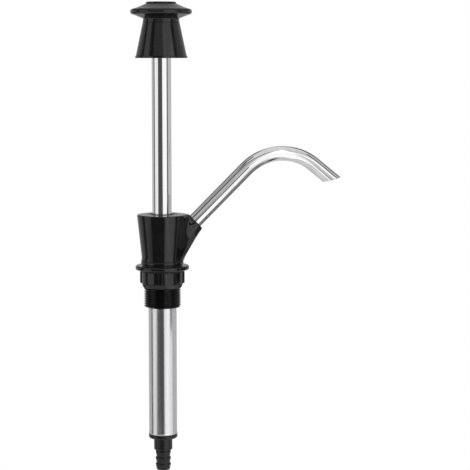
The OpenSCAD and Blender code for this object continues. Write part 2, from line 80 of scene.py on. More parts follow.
bpy.ops.object.camera_add(
    location=from_front(CAMERA_PLACE),
    rotation=(radians(90 - CAMERA_PITCH), 0, radians(VIEW_TURN)),
)
photo_camera = bpy.context.object
photo_camera.name = "photo_camera"
photo_camera.data.lens = CAMERA_LENS
photo_camera.data.sensor_width = SENSOR_WIDTH
bpy.context.scene.camera = photo_camera
bpy.context.scene.view_settings.view_transform = "Standard"
print("camera", photo_camera.location[:], "lens", CAMERA_LENS)

# %% [markdown]
# ## Tools for turned pieces
# Nearly every piece of a pump comes off a lathe or out of a round mould. A ring of points is
# added, then extruded and scaled through the heights and radii of the outline, as one does by
# hand with E and S. Spinning a drawn outline would give the same shape, but rings are easier to
# find again by their radius and height when their edges are rounded.


# %% Edit mode helpers
NEAR = 0.02
MERGE_GAP = 0.001


def clear_selection():
    if bpy.context.object and bpy.context.object.mode != "OBJECT":
        bpy.ops.object.mode_set(mode="OBJECT")
    bpy.ops.object.select_all(action="DESELECT")


def make_active(piece):
    clear_selection()
    piece.select_set(True)
    bpy.context.view_layer.objects.active = piece


def open_for_edit(piece):
    make_active(piece)
    bpy.ops.object.mode_set(mode="EDIT")
    bpy.ops.mesh.select_all(action="DESELECT")


def apply_transform():
    bpy.ops.object.transform_apply(location=True, rotation=True, scale=True)


def extrude_by(step):
    bpy.ops.mesh.extrude_region_move(TRANSFORM_OT_translate={"value": step})


def pick_edges(piece, wanted):
    bpy.ops.mesh.select_mode(type="EDGE")
    bpy.ops.mesh.select_all(action="DESELECT")
    mesh = bmesh.from_edit_mesh(piece.data)
    for edge in mesh.edges:
        if all(wanted(point.co / MM) for point in edge.verts):
            edge.select_set(True)
    bmesh.update_edit_mesh(piece.data)


def round_picked(size, segments):
    bpy.ops.mesh.bevel(offset=size * MM, segments=segments, profile=0.5, affect="EDGES")
    bpy.ops.object.mode_set(mode="OBJECT")


def face_outwards():
    bpy.ops.mesh.select_all(action="SELECT")
    bpy.ops.mesh.normals_make_consistent(inside=False)
    bpy.ops.object.mode_set(mode="OBJECT")


print("points are found within, mm:", NEAR, "and merged within, mm:", MERGE_GAP)


# %% Turned pieces, round edges and booleans
def turned(name, outline, hollow=True, columns=128):
    clear_selection()
    bpy.ops.mesh.primitive_circle_add(vertices=columns, radius=outline[0][0] * MM)
    piece = bpy.context.object
    piece.name = name
    piece.data.name = name
    bpy.ops.object.mode_set(mode="EDIT")
    bpy.ops.mesh.select_all(action="SELECT")
    bpy.ops.transform.translate(value=(0, 0, outline[0][1] * MM))
    for (radius, height), (next_radius, next_height) in zip(outline, outline[1:]):
        extrude_by((0, 0, (next_height - height) * MM))
        grow = next_radius / radius
        bpy.ops.transform.resize(value=(grow, grow, 1), center_override=(0, 0, next_height * MM))
    bpy.ops.mesh.select_all(action="SELECT")
    bpy.ops.mesh.region_to_loop()
    if hollow:
        bpy.ops.mesh.bridge_edge_loops()
    else:
        bpy.ops.mesh.select_all(action="SELECT")
        bpy.ops.mesh.fill_holes(sides=0)
    face_outwards()
    return piece


def round_ring(piece, radius, height, size, segments=4):
    open_for_edit(piece)
    pick_edges(
        piece,
        lambda spot: abs(spot.xy.length - radius) < NEAR and abs(spot.z - height) < NEAR,
    )
    round_picked(size, segments)


def apply_modifier(piece, kind, **settings):
    make_active(piece)
    modifier = piece.modifiers.new(kind.title(), kind)
    for setting, value in settings.items():
        setattr(modifier, setting, value)
    bpy.ops.object.modifier_apply(modifier=modifier.name)


def boolean(piece, tool, operation):
    apply_modifier(piece, "BOOLEAN", operation=operation, object=tool, solver="EXACT")
    bpy.data.meshes.remove(tool.data)


print("helpers ready")

# %% [markdown]
# ## Finishing a piece
# A finished piece is shaded smooth with its real corners kept sharp, and weighted normals keep
# large flat faces flat next to their rounded edges. It then gets its material, rides on its body
# and hides the CAD node that it stands for.


# %% Finish helper
def finish_piece(piece, body, nodes, finish, corner=40):
    make_active(piece)
    bpy.ops.object.shade_smooth_by_angle(angle=radians(corner))
    apply_modifier(piece, "WEIGHTED_NORMAL", keep_sharp=True)
    piece.data.materials.clear()
    piece.data.materials.append(finish)
    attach(piece, body)
    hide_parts(*nodes)
    piece.data.calc_loop_triangles()
    box = [round(side / MM, 1) for side in piece.dimensions]
    print(piece.name, "on", body, "box", box, "triangles", len(piece.data.loop_triangles))


# %% [markdown]
# ## Effects that the finishes share
# Three effects come back in several finishes, so each is a node group: the fine grain of a
# moulded surface, the drawn lines along a tube, and the faint marks of handling. A group gives
# only values that change over the surface. The shader itself stays in each material.


# %% Node helpers
def place(tree, kind, **inputs):
    node = tree.nodes.new(kind)
    for name, value in inputs.items():
        node.inputs[name.replace("_", " ")].default_value = value
    return node


def wire(tree, source, output, target, entry):
    tree.links.new(source.outputs[output], target.inputs[entry])


def with_operation(tree, kind, operation):
    node = tree.nodes.new(kind)
    node.operation = operation
    return node


def stretch(tree, low, high, to_low=0.0, to_high=1.0):
    return place(
        tree, "ShaderNodeMapRange", From_Min=low, From_Max=high, To_Min=to_low, To_Max=to_high
    )


def new_group(name, sockets_in, sockets_out):
    tree = bpy.data.node_groups.new(name, "ShaderNodeTree")
    tree.interface.new_socket("Vector", in_out="INPUT", socket_type="NodeSocketVector")
    for socket, value in sockets_in:
        made = tree.interface.new_socket(socket, in_out="INPUT", socket_type="NodeSocketFloat")
        made.default_value = value
    for socket in sockets_out:
        tree.interface.new_socket(socket, in_out="OUTPUT", socket_type="NodeSocketFloat")
    print("group", name)
    return tree, tree.nodes.new("NodeGroupInput"), tree.nodes.new("NodeGroupOutput")


# %% Moulded grain
grain, grain_in, grain_out = new_group(
    "moulded_grain", [("Scale", 2500.0), ("Flow", 60.0)], ["Height", "Cloud"]
)
grain_noise = place(grain, "ShaderNodeTexNoise", Detail=2.0, Roughness=0.55)
flow_noise = place(grain, "ShaderNodeTexNoise", Detail=4.0, Roughness=0.6, Distortion=0.8)
for noise, size in ((grain_noise, "Scale"), (flow_noise, "Flow")):
    wire(grain, grain_in, "Vector", noise, "Vector")
    wire(grain, grain_in, size, noise, "Scale")
flow_spread = stretch(grain, 0.3, 0.7)
wire(grain, flow_noise, "Fac", flow_spread, "Value")
wire(grain, grain_noise, "Fac", grain_out, "Height")
wire(grain, flow_spread, "Result", grain_out, "Cloud")

# %% Drawn lines
STREAK_STRETCH = (0.18, 0.18, 0.35)
lines, lines_in, lines_out = new_group(
    "drawn_lines", [("Lines", 900.0), ("Length", 12.0)], ["Lines", "Streaks"]
)
line_scale = lines.nodes.new("ShaderNodeCombineXYZ")
line_stretch = with_operation(lines, "ShaderNodeVectorMath", "MULTIPLY")
line_noise = place(lines, "ShaderNodeTexNoise", Scale=1.0, Detail=3.0, Roughness=0.7)
line_spread = stretch(lines, 0.3, 0.7)
streak_scale = with_operation(lines, "ShaderNodeVectorMath", "MULTIPLY")
streak_scale.inputs[1].default_value = STREAK_STRETCH
streak_noise = place(lines, "ShaderNodeTexNoise", Scale=1.0, Detail=4.0, Roughness=0.6)
streak_spread = stretch(lines, 0.35, 0.65)
for axis, socket in (("X", "Lines"), ("Y", "Lines"), ("Z", "Length")):
    wire(lines, lines_in, socket, line_scale, axis)
wire(lines, lines_in, "Vector", line_stretch, 0)
wire(lines, line_scale, "Vector", line_stretch, 1)
wire(lines, line_stretch, "Vector", streak_scale, 0)
for scaled, noise, spread, socket in (
    (line_stretch, line_noise, line_spread, "Lines"),
    (streak_scale, streak_noise, streak_spread, "Streaks"),
):
    wire(lines, scaled, "Vector", noise, "Vector")
    wire(lines, noise, "Fac", spread, "Value")
    wire(lines, spread, "Result", lines_out, socket)

# %% Handling marks
SCRATCH_TURN = (0.5, 0.9, 0.3)
SCRATCH_STRETCH = (30, 900, 500)
marks, marks_in, marks_out = new_group(
    "handling_marks", [("Scale", 40.0), ("Amount", 0.5)], ["Smudge", "Scratch"]
)
smudge_noise = place(marks, "ShaderNodeTexNoise", Detail=5.0, Roughness=0.65, Distortion=1.2)
smudge_spread = stretch(marks, 0.45, 0.75)
wire(marks, marks_in, "Vector", smudge_noise, "Vector")
wire(marks, marks_in, "Scale", smudge_noise, "Scale")
scratch_turn = place(marks, "ShaderNodeMapping", Rotation=SCRATCH_TURN, Scale=SCRATCH_STRETCH)
scratch_noise = place(marks, "ShaderNodeTexNoise", Scale=1.0, Detail=1.0, Distortion=0.4)
scratch_spread = stretch(marks, 0.68, 0.74)
wire(marks, marks_in, "Vector", scratch_turn, "Vector")
wire(marks, scratch_turn, "Vector", scratch_noise, "Vector")
for noise, spread, socket in (
    (smudge_noise, smudge_spread, "Smudge"),
    (scratch_noise, scratch_spread, "Scratch"),
):
    amount = with_operation(marks, "ShaderNodeMath", "MULTIPLY")
    wire(marks, noise, "Fac", spread, "Value")
    wire(marks, spread, "Result", amount, 0)
    wire(marks, marks_in, "Amount", amount, 1)
    wire(marks, amount, "Value", marks_out, socket)

# %% [markdown]
# ## Finishes
# The black pieces are moulded plastic: nearly black, glossy, with a faint grain and a slow cloud
# of flow that changes the gloss. The knob is handled, so it is a touch more satin, and the hose
# tail is satin all over. The rod and the spout are bright chrome. The barrel is drawn tube, whose
# fine lengthwise lines blur what it mirrors. Plain values sit on the shader's own sockets, and
# only what varies comes through nodes. Depths of grain and lines are in millimetres.


# %% Start of a material
# A Mix node has its colours at these sockets
MIX_FIRST = 6
MIX_SECOND = 7
MIX_RESULT = 2


def new_finish(name, metallic):
    finish = bpy.data.materials.new(name)
    finish.use_nodes = True
    tree = finish.node_tree
    shader = tree.nodes["Principled BSDF"]
    shader.inputs["Metallic"].default_value = metallic
    shader.inputs["IOR"].default_value = 1.5
    place_on_piece = tree.nodes.new("ShaderNodeTexCoord")
    return finish, tree, shader, place_on_piece.outputs["Object"]


def use_group(tree, group, vector, **inputs):
    node = tree.nodes.new("ShaderNodeGroup")
    node.node_tree = group
    tree.links.new(vector, node.inputs["Vector"])
    for name, value in inputs.items():
        node.inputs[name].default_value = value
    return node


def tint_between(tree, shader, mask, first, second):
    mix = tree.nodes.new("ShaderNodeMix")
    mix.data_type = "RGBA"
    mix.inputs[MIX_FIRST].default_value = (*first, 1)
    mix.inputs[MIX_SECOND].default_value = (*second, 1)
    tree.links.new(mask, mix.inputs["Factor"])
    wire(tree, mix, MIX_RESULT, shader, "Base Color")


def sum_of(tree, first, second, share):
    node = with_operation(tree, "ShaderNodeMath", "MULTIPLY_ADD")
    tree.links.new(second, node.inputs[0])
    node.inputs[1].default_value = share
    tree.links.new(first, node.inputs[2])
    return node.outputs["Value"]


def gloss_from(tree, shader, mask, low, high):
    spread = stretch(tree, 0.0, 1.0, low, high)
    tree.links.new(mask, spread.inputs["Value"])
    wire(tree, spread, "Result", shader, "Roughness")


def bump_from(tree, shader, height, strength, depth):
    bump = place(tree, "ShaderNodeBump", Strength=strength, Distance=depth * MM)
    tree.links.new(height, bump.inputs["Height"])
    wire(tree, bump, "Normal", shader, "Normal")


# %% Moulded plastics and rubber
FLOW_SIZE = 70.0
TOUCH_SIZE = 55.0
SCRATCH_SHARE = 0.6
CLOUD_SHARE = 0.35
GRAIN_STRENGTH = 0.25


def moulded(name, dark, light, gloss, grain_size=2600.0, grain_depth=0.010, wear=0.5):
    finish, tree, shader, vector = new_finish(name, 0.0)
    skin = use_group(tree, grain, vector, Scale=grain_size, Flow=FLOW_SIZE)
    touch = use_group(tree, marks, vector, Scale=TOUCH_SIZE, Amount=wear)
    tint_between(tree, shader, skin.outputs["Cloud"], dark, light)
    worn = sum_of(tree, touch.outputs["Smudge"], touch.outputs["Scratch"], SCRATCH_SHARE)
    mixed = sum_of(tree, worn, skin.outputs["Cloud"], CLOUD_SHARE)
    gloss_from(tree, shader, mixed, *gloss)
    bump_from(tree, shader, skin.outputs["Height"], GRAIN_STRENGTH, grain_depth)
    print(name, "is moulded")
    return finish


black_gloss = moulded(
    "black_gloss",
    dark=(0.0055, 0.0055, 0.006),
    light=(0.010, 0.010, 0.011),
    gloss=(0.11, 0.22),
)
black_knob = moulded(
    "black_knob",
    dark=(0.0065, 0.0065, 0.007),
    light=(0.012, 0.012, 0.013),
    gloss=(0.12, 0.24),
    grain_size=2200.0,
    grain_depth=0.015,
    wear=0.7,
)
black_satin = moulded(
    "black_satin",
    dark=(0.006, 0.006, 0.0065),
    light=(0.011, 0.011, 0.012),
    gloss=(0.28, 0.42),
)
black_matte = moulded(
    "black_matte",
    dark=(0.010, 0.010, 0.010),
    light=(0.020, 0.020, 0.020),
    gloss=(0.5, 0.7),
    grain_size=3000.0,
    grain_depth=0.040,
    wear=0.4,
)
seal_rubber = moulded(
    "seal_rubber",
    dark=(0.010, 0.010, 0.010),
    light=(0.020, 0.020, 0.019),
    gloss=(0.6, 0.85),
    grain_size=3500.0,
    grain_depth=0.040,
    wear=0.3,
)
natural_nylon = moulded(
    "natural_nylon",
    dark=(0.70, 0.68, 0.61),
    light=(0.80, 0.78, 0.72),
    gloss=(0.38, 0.55),
    grain_size=1800.0,
    grain_depth=0.030,
    wear=0.3,
)

# %% Metals
METAL_TOUCH_SIZE = 30.0
STREAK_SHARE = 0.6
METAL_SCRATCH_SHARE = 0.5
LINE_STRENGTH = 0.2


def metal(name, dark, light, gloss, line_count, line_length, line_depth=0.010, wear=0.5):
    finish, tree, shader, vector = new_finish(name, 1.0)
    drawn = use_group(tree, lines, vector, Lines=line_count, Length=line_length)
    touch = use_group(tree, marks, vector, Scale=METAL_TOUCH_SIZE, Amount=wear)
    tint_between(tree, shader, drawn.outputs["Streaks"], dark, light)
    mixed = sum_of(tree, touch.outputs["Smudge"], drawn.outputs["Streaks"], STREAK_SHARE)
    gloss_from(tree, shader, mixed, *gloss)
    scored = sum_of(tree, drawn.outputs["Lines"], touch.outputs["Scratch"], METAL_SCRATCH_SHARE)
    bump_from(tree, shader, scored, LINE_STRENGTH, line_depth)
    print(name, "is metal")
    return finish


bright_chrome = metal(
    "bright_chrome",
    dark=(0.79, 0.79, 0.80),
    light=(0.88, 0.88, 0.89),
    gloss=(0.04, 0.10),
    line_count=700.0,
    line_length=9.0,
    line_depth=0.004,
    wear=0.4,
)
drawn_tube = metal(
    "drawn_tube",
    dark=(0.69, 0.69, 0.715),
    light=(0.82, 0.82, 0.845),
    gloss=(0.17, 0.30),
    line_count=1100.0,
    line_length=7.0,
    line_depth=0.020,
)
plain_steel = metal(
    "plain_steel",
    dark=(0.50, 0.50, 0.51),
    light=(0.62, 0.62, 0.63),
    gloss=(0.22, 0.38),
    line_count=900.0,
    line_length=300.0,
)
turned_brass = metal(
    "turned_brass",
    dark=(0.66, 0.45, 0.17),
    light=(0.78, 0.56, 0.26),
    gloss=(0.2, 0.38),
    line_count=300.0,
    line_length=2400.0,
)

# %% [markdown]
# ## The knob
# The knob is two mouldings that snap together: a mushroom cap with a thin round rim, and a hollow
# cone with a hub that takes the rod. The cap is turned from its hollow spigot outwards. Its crown
# dips between the flat top and the rim, so its outline follows a power curve there.

# %% Knob cap
CAP_LOW = 221.1
CAP_TOP = 239.1
RIM_RADIUS = 27.49
RIM_ROUND = 2.6
RIM_HEIGHT = CAP_LOW + 9.4
RIM_ARC = range(-75, 90, 15)
FLAT_RADIUS = 13.3
CROWN_CURVE = 1.15
JOINT_RADIUS = 16.4
NECK_HEIGHT = CAP_LOW + 3.2
NECK_RADIUS = 15.9
SPIGOT_RADIUS = 14.16
SPIGOT_LENGTH = 6.0
HOLLOW_TOP_RADIUS = 10.1
HOLLOW_STEP = 7.3
KNOB_WALL = 2.2
FLAT_DROP = 1.5
FLAT_STEP = 0.4
CROWN_STEPS = 12
rim_middle = RIM_RADIUS - RIM_ROUND
crown_low = RIM_HEIGHT + RIM_ROUND
crown_high = CAP_TOP - FLAT_DROP
crown_width = rim_middle - FLAT_RADIUS - FLAT_STEP
rim_arc = [
    (rim_middle + RIM_ROUND * cos(radians(turn)), RIM_HEIGHT + RIM_ROUND * sin(radians(turn)))
    for turn in RIM_ARC
]
crown = []
for step in range(CROWN_STEPS + 1):
    share = step / CROWN_STEPS
    crown_height = crown_low + (crown_high - crown_low) * share**CROWN_CURVE
    crown.append((rim_middle - crown_width * share, crown_height))
cap_outline = [
    (HOLLOW_TOP_RADIUS, CAP_TOP - KNOB_WALL),
    (SPIGOT_RADIUS - KNOB_WALL, CAP_LOW + HOLLOW_STEP),
    (SPIGOT_RADIUS - KNOB_WALL, CAP_LOW - SPIGOT_LENGTH),
    (SPIGOT_RADIUS, CAP_LOW - SPIGOT_LENGTH),
    (SPIGOT_RADIUS, CAP_LOW),
    (JOINT_RADIUS, CAP_LOW),
    (NECK_RADIUS, NECK_HEIGHT),
    (rim_middle, RIM_HEIGHT - RIM_ROUND),
    *rim_arc,
    *crown,
    (FLAT_RADIUS, CAP_TOP),
]
knob_disc = turned("knob_disc", cap_outline, hollow=False)
round_ring(knob_disc, FLAT_RADIUS, CAP_TOP, size=0.35, segments=3)
round_ring(knob_disc, NECK_RADIUS, NECK_HEIGHT, size=0.8)
round_ring(knob_disc, JOINT_RADIUS, CAP_LOW, size=0.3, segments=2)
finish_piece(knob_disc, "plunger", ["knob_cap"], black_knob)

# %% [markdown]
# The skirt is one closed outline as well: up the outside, down the inside to the web, in to the
# screw's hole, around the hub and back down the inside. Four ribs between hub and wall are plain
# blocks, widened below to follow the wall, turned to the diagonals and joined on with a boolean.

# %% Knob skirt
SKIRT_LOW = 189.5
SKIRT_LOW_RADIUS = 23.1
SKIRT_LIP_RADIUS = SKIRT_LOW_RADIUS + 0.2
SKIRT_LIP_TOP = SKIRT_LOW + 2
HUB_RADIUS = 10.94
HUB_BORE = 8.74
HUB_LOW = SKIRT_LOW + 3
WEB_LOW = HUB_LOW + 13
WEB_TOP = WEB_LOW + 3
SCREW_HOLE_RADIUS = 2.04
skirt_lean = (SKIRT_LOW_RADIUS - JOINT_RADIUS) / (CAP_LOW - SKIRT_LOW)


def skirt_outside(height):
    return SKIRT_LOW_RADIUS - skirt_lean * (height - SKIRT_LOW)


def skirt_inside(height):
    return skirt_outside(height) - KNOB_WALL


skirt_outline = [
    (SKIRT_LIP_RADIUS, SKIRT_LOW),
    (SKIRT_LIP_RADIUS, SKIRT_LIP_TOP),
    (skirt_outside(SKIRT_LIP_TOP), SKIRT_LIP_TOP),
    (JOINT_RADIUS, CAP_LOW),
    (skirt_inside(CAP_LOW), CAP_LOW),
    (skirt_inside(WEB_TOP), WEB_TOP),
    (SCREW_HOLE_RADIUS, WEB_TOP),
    (SCREW_HOLE_RADIUS, WEB_LOW),
    (HUB_BORE, WEB_LOW),
    (HUB_BORE, HUB_LOW),
    (HUB_RADIUS, HUB_LOW),
    (HUB_RADIUS, WEB_LOW),
    (skirt_inside(WEB_LOW), WEB_LOW),
    (skirt_inside(SKIRT_LOW), SKIRT_LOW),
]
knob_cone = turned("knob_cone", skirt_outline)
round_ring(knob_cone, SKIRT_LIP_RADIUS, SKIRT_LOW, size=0.5)
round_ring(knob_cone, SKIRT_LIP_RADIUS, SKIRT_LIP_TOP, size=0.4)
round_ring(knob_cone, skirt_inside(SKIRT_LOW), SKIRT_LOW, size=0.4)
round_ring(knob_cone, JOINT_RADIUS, CAP_LOW, size=0.3, segments=2)
round_ring(knob_cone, HUB_RADIUS, HUB_LOW, size=0.4, segments=2)
round_ring(knob_cone, HUB_RADIUS, WEB_LOW, size=0.8)
round_ring(knob_cone, skirt_inside(WEB_LOW), WEB_LOW, size=0.8)
print("knob cone faces:", len(knob_cone.data.polygons))


# %% Ribs of the skirt
def block(inner, outer, thick, low, top):
    clear_selection()
    bpy.ops.mesh.primitive_cube_add(size=1)
    made = bpy.context.object
    made.scale = ((outer - inner) * MM, thick * MM, (top - low) * MM)
    made.location = ((inner + outer) / 2 * MM, 0, (low + top) / 2 * MM)
    apply_transform()
    return made


def turn_about_axis(piece, degrees):
    piece.rotation_euler = (0, 0, radians(degrees))
    apply_transform()


RIB_LOW = HUB_LOW + 3
RIB_THICK = 1.6
HUB_OVERLAP = 0.6
WALL_OVERLAP = 0.8
rib_start = HUB_RADIUS - HUB_OVERLAP
rib_top = WEB_LOW + HUB_OVERLAP
rib_end = skirt_inside(rib_top) + WALL_OVERLAP
rib_lean = skirt_inside(RIB_LOW) - skirt_inside(rib_top)
for turn in (45, 135, 225, 315):
    rib = block(rib_start, rib_end, RIB_THICK, RIB_LOW, rib_top)
    open_for_edit(rib)
    pick_edges(rib, lambda spot: spot.x > rib_end - NEAR and spot.z < RIB_LOW + NEAR)
    bpy.ops.transform.translate(value=(rib_lean * MM, 0, 0))
    bpy.ops.object.mode_set(mode="OBJECT")
    turn_about_axis(rib, turn)
    boolean(knob_cone, rib, "UNION")
finish_piece(knob_cone, "plunger", ["knob_skirt"], black_knob)

# %% [markdown]
# ## The plunger rod
# The rod is a thin chrome tube. Its lower end is inside the barrel, where two crossed drillings
# let the water out above the piston, so a pair of round cutters makes those.

# %% Plunger rod
ROD_RADIUS = 8.7
ROD_WALL = 1.0
ROD_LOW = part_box("rod_tube")[0].z / MM
PORT_HEIGHT = ROD_LOW + 3.6
PORT_RADIUS = 2.2
PORT_COLUMNS = 32
DRILL_LENGTH = 3 * ROD_RADIUS
rod_outline = [
    (ROD_RADIUS, ROD_LOW),
    (ROD_RADIUS, WEB_LOW),
    (ROD_RADIUS - ROD_WALL, WEB_LOW),
    (ROD_RADIUS - ROD_WALL, ROD_LOW),
]
chrome_rod = turned("chrome_rod", rod_outline)
for height in (ROD_LOW, WEB_LOW):
    round_ring(chrome_rod, ROD_RADIUS, height, size=0.3, segments=3)
for turn in (0, 90):
    clear_selection()
    bpy.ops.mesh.primitive_cylinder_add(
        vertices=PORT_COLUMNS,
        radius=PORT_RADIUS * MM,
        depth=DRILL_LENGTH * MM,
        location=(0, 0, PORT_HEIGHT * MM),
        rotation=(radians(90), 0, radians(turn)),
    )
    drill = bpy.context.object
    apply_transform()
    boolean(chrome_rod, drill, "DIFFERENCE")
finish_piece(chrome_rod, "plunger", ["rod_tube"], bright_chrome)

# %% [markdown]
# ## The pump head
# The head is one moulding: a cone that widens upwards, with a boss for the spout growing out of
# its side and a web under the boss. First the three plain solids are made and joined.

# %% Cone, boss and web
HEAD_TOP = 49.8
HEAD_TOP_RADIUS = 22.65
HEAD_LOW = 8.0
HEAD_LOW_RADIUS = 18.2
SPOUT_SLOPE = 44.8
SPOUT_START = 13.6
BOSS_RADIUS = 8.79
BOSS_DROP = 0.2
BOSS_START = 8.0
WEB_SLOPE = 59.5
WEB_RADIUS = BOSS_RADIUS - 0.6
WEB_INSET = 0.2
WEB_BELOW = 60.0
WEB_PAST = 20.0
WEB_SETBACK = 0.5
WEB_FOOT = 0.5
HIDDEN_FOOT = 2.0
BAR_COLUMNS = 128
boss_rise = HEAD_TOP - BOSS_DROP - BOSS_RADIUS * cos(radians(SPOUT_SLOPE)) - SPOUT_START
boss_length = boss_rise / sin(radians(SPOUT_SLOPE))
head_lean = (HEAD_TOP_RADIUS - HEAD_LOW_RADIUS) / (HEAD_TOP - HEAD_LOW)
spout_way = Vector((cos(radians(SPOUT_SLOPE)), 0, sin(radians(SPOUT_SLOPE))))
web_way = Vector((cos(radians(WEB_SLOPE)), 0, sin(radians(WEB_SLOPE))))
boss_under = Vector((sin(radians(SPOUT_SLOPE)), 0, -cos(radians(SPOUT_SLOPE))))
web_under = Vector((sin(radians(WEB_SLOPE)), 0, -cos(radians(WEB_SLOPE))))
spout_foot = Vector((0, 0, SPOUT_START))
boss_end = spout_foot + spout_way * boss_length
web_end = boss_end + boss_under * (BOSS_RADIUS - WEB_INSET) - web_under * WEB_RADIUS


def bar_between(radius, start, end):
    clear_selection()
    way = end - start
    bpy.ops.mesh.primitive_cylinder_add(
        vertices=BAR_COLUMNS,
        radius=radius * MM,
        depth=way.length * MM,
        location=(start + end) / 2 * MM,
        rotation=way.to_track_quat("Z", "Y").to_euler(),
    )
    bar = bpy.context.object
    apply_transform()
    return bar


def trim(piece, place_on_cut, outward):
    open_for_edit(piece)
    bpy.ops.mesh.select_all(action="SELECT")
    bpy.ops.mesh.bisect(
        plane_co=place_on_cut * MM, plane_no=outward, use_fill=True, clear_outer=True
    )
    face_outwards()


foot_level = HEAD_LOW - HIDDEN_FOOT
cone_foot = (HEAD_LOW_RADIUS - HIDDEN_FOOT * head_lean, foot_level)
head_body = turned("head_body", [cone_foot, (HEAD_TOP_RADIUS, HEAD_TOP)], hollow=False, columns=192)
boss = bar_between(BOSS_RADIUS, spout_foot + spout_way * BOSS_START, boss_end)
web = bar_between(WEB_RADIUS, web_end - web_way * WEB_BELOW, web_end + web_way * WEB_PAST)
trim(web, boss_end - spout_way * WEB_SETBACK, spout_way)
trim(web, Vector((0, 0, foot_level + WEB_FOOT)), Vector((0, 0, -1)))
boolean(boss, web, "UNION")
boolean(head_body, boss, "UNION")
print("boss length, mm:", round(boss_length, 2), "boss end:", [round(x, 2) for x in boss_end])

# %% [markdown]
# On the real moulding the boss flows out of the cone in a wide hollow curve, and the rims are
# just rounded. A bevel can't follow the seam that a boolean leaves, and smoothing would shrink
# the boss. So the joined solid is remeshed into small even faces, and its points, apart from the
# lowest, which are cut off, are moved onto a blended surface: a soft minimum of the distances to
# cone, boss and web, which melts them together near their seams, and a soft maximum with the two
# flat cuts, which rounds the rims.

# %% Blended skin of the head
SKIN_SIZE = 0.42
FILLET_LOW = 2.8
FILLET_HIGH = 8.0
FILLET_START = 35.0
FILLET_END = 41.0
FILLET_SIDE = 0.6
WEB_BLEND = 3.0
RIM_BLEND = 1.3
SLOPE_STEP = 0.02
LEAST_SLOPE = 0.1
LONGEST_PULL = 1.0
FOOT_MARGIN = 0.8
RELAXINGS = 5
PULLS = 4


def soft_min(first, second, reach):
    near = np.clip(reach - np.abs(first - second), 0, None) / reach
    return np.minimum(first, second) - near * near * reach / 4


def soft_max(first, second, reach):
    return -soft_min(-first, -second, reach)


def bar_gap(points, start, way, radius):
    offset = points - np.array(start)
    along = offset @ np.array(way)
    across = offset - along[:, None] * np.array(way)
    return np.linalg.norm(across, axis=1) - radius


def skin_gap(points):
    height = points[:, 2]
    cone = np.hypot(points[:, 0], points[:, 1]) - HEAD_LOW_RADIUS - (height - HEAD_LOW) * head_lean
    boss_gap = bar_gap(points, spout_foot, spout_way, BOSS_RADIUS)
    web_gap = bar_gap(points, web_end, web_way, WEB_RADIUS)
    side = soft_min(boss_gap, web_gap, WEB_BLEND)
    past_boss = (points - np.array(boss_end)) @ np.array(spout_way)
    side = soft_max(side, past_boss, RIM_BLEND)
    flank = np.clip(np.abs(points[:, 1]) / BOSS_RADIUS, 0, 1)
    rise = np.clip((height - FILLET_START) / (FILLET_END - FILLET_START), 0, 1)
    widen = (FILLET_SIDE + (1 - FILLET_SIDE) * rise * rise * (3 - 2 * rise)) * flank
    joined = soft_min(cone, side, FILLET_LOW + (FILLET_HIGH - FILLET_LOW) * widen)
    return soft_max(joined, height - HEAD_TOP, RIM_BLEND)


def skin_slope(points):
    sides = []
    for axis in np.eye(3) * SLOPE_STEP:
        sides.append((skin_gap(points + axis) - skin_gap(points - axis)) / (2 * SLOPE_STEP))
    return np.stack(sides, axis=1)


apply_modifier(head_body, "REMESH", mode="VOXEL", voxel_size=SKIN_SIZE * MM)
for relaxing in range(RELAXINGS):
    apply_modifier(head_body, "SMOOTH", factor=0.5, iterations=3)
    skin = np.empty(len(head_body.data.vertices) * 3)
    head_body.data.vertices.foreach_get("co", skin)
    skin = skin.reshape(-1, 3) / MM
    above_foot = skin[:, 2] > foot_level + FOOT_MARGIN
    for pull in range(PULLS):
        moving = skin[above_foot]
        slope = skin_slope(moving)
        reach = skin_gap(moving) / np.maximum(np.sum(slope * slope, axis=1), LEAST_SLOPE)
        reach = np.clip(reach, -LONGEST_PULL, LONGEST_PULL)
        skin[above_foot] = moving - slope * reach[:, None]
    head_body.data.vertices.foreach_set("co", (skin * MM).ravel())
    head_body.data.update()
trim(head_body, Vector((0, 0, HEAD_LOW)), Vector((0, 0, -1)))
seen_skin = skin[skin[:, 2] > HEAD_LOW + SKIN_SIZE]
print("head skin faces:", len(head_body.data.polygons))
print("worst gap of the skin, mm:", round(float(np.abs(skin_gap(seen_skin)).max()), 3))

# %% [markdown]
# The head is hollow. Two turned cutters open it: one on the pump's axis for the outlet chamber
# and the gland's pocket, and one along the spout for its socket and the way out.

# %% Pockets of the head
GLAND_RADIUS = 13.2
GLAND_DEPTH = 15.0
CHAMBER_RADIUS = 10.8
SOCKET_RADIUS = 6.79
SOCKET_DEPTH = 14.0
OUTLET_RADIUS = 5.35
GLAND_CHAMFER = 0.4
SOCKET_CHAMFER = 0.3
CUT_PAST = 5.0
gland_cutter = turned(
    "gland_cutter",
    [
        (CHAMBER_RADIUS, 0),
        (CHAMBER_RADIUS, HEAD_TOP - GLAND_DEPTH),
        (GLAND_RADIUS, HEAD_TOP - GLAND_DEPTH),
        (GLAND_RADIUS, HEAD_TOP - GLAND_CHAMFER),
        (GLAND_RADIUS + GLAND_CHAMFER, HEAD_TOP),
        (GLAND_RADIUS + GLAND_CHAMFER, HEAD_TOP + CUT_PAST),
    ],
    hollow=False,
)
boolean(head_body, gland_cutter, "DIFFERENCE")
socket_cutter = turned(
    "socket_cutter",
    [
        (OUTLET_RADIUS, 0),
        (OUTLET_RADIUS, boss_length - SOCKET_DEPTH),
        (SOCKET_RADIUS, boss_length - SOCKET_DEPTH),
        (SOCKET_RADIUS, boss_length - SOCKET_CHAMFER),
        (SOCKET_RADIUS + SOCKET_CHAMFER, boss_length),
        (SOCKET_RADIUS + SOCKET_CHAMFER, boss_length + CUT_PAST),
    ],
    hollow=False,
    columns=96,
)
socket_cutter.rotation_euler = (0, radians(90 - SPOUT_SLOPE), 0)
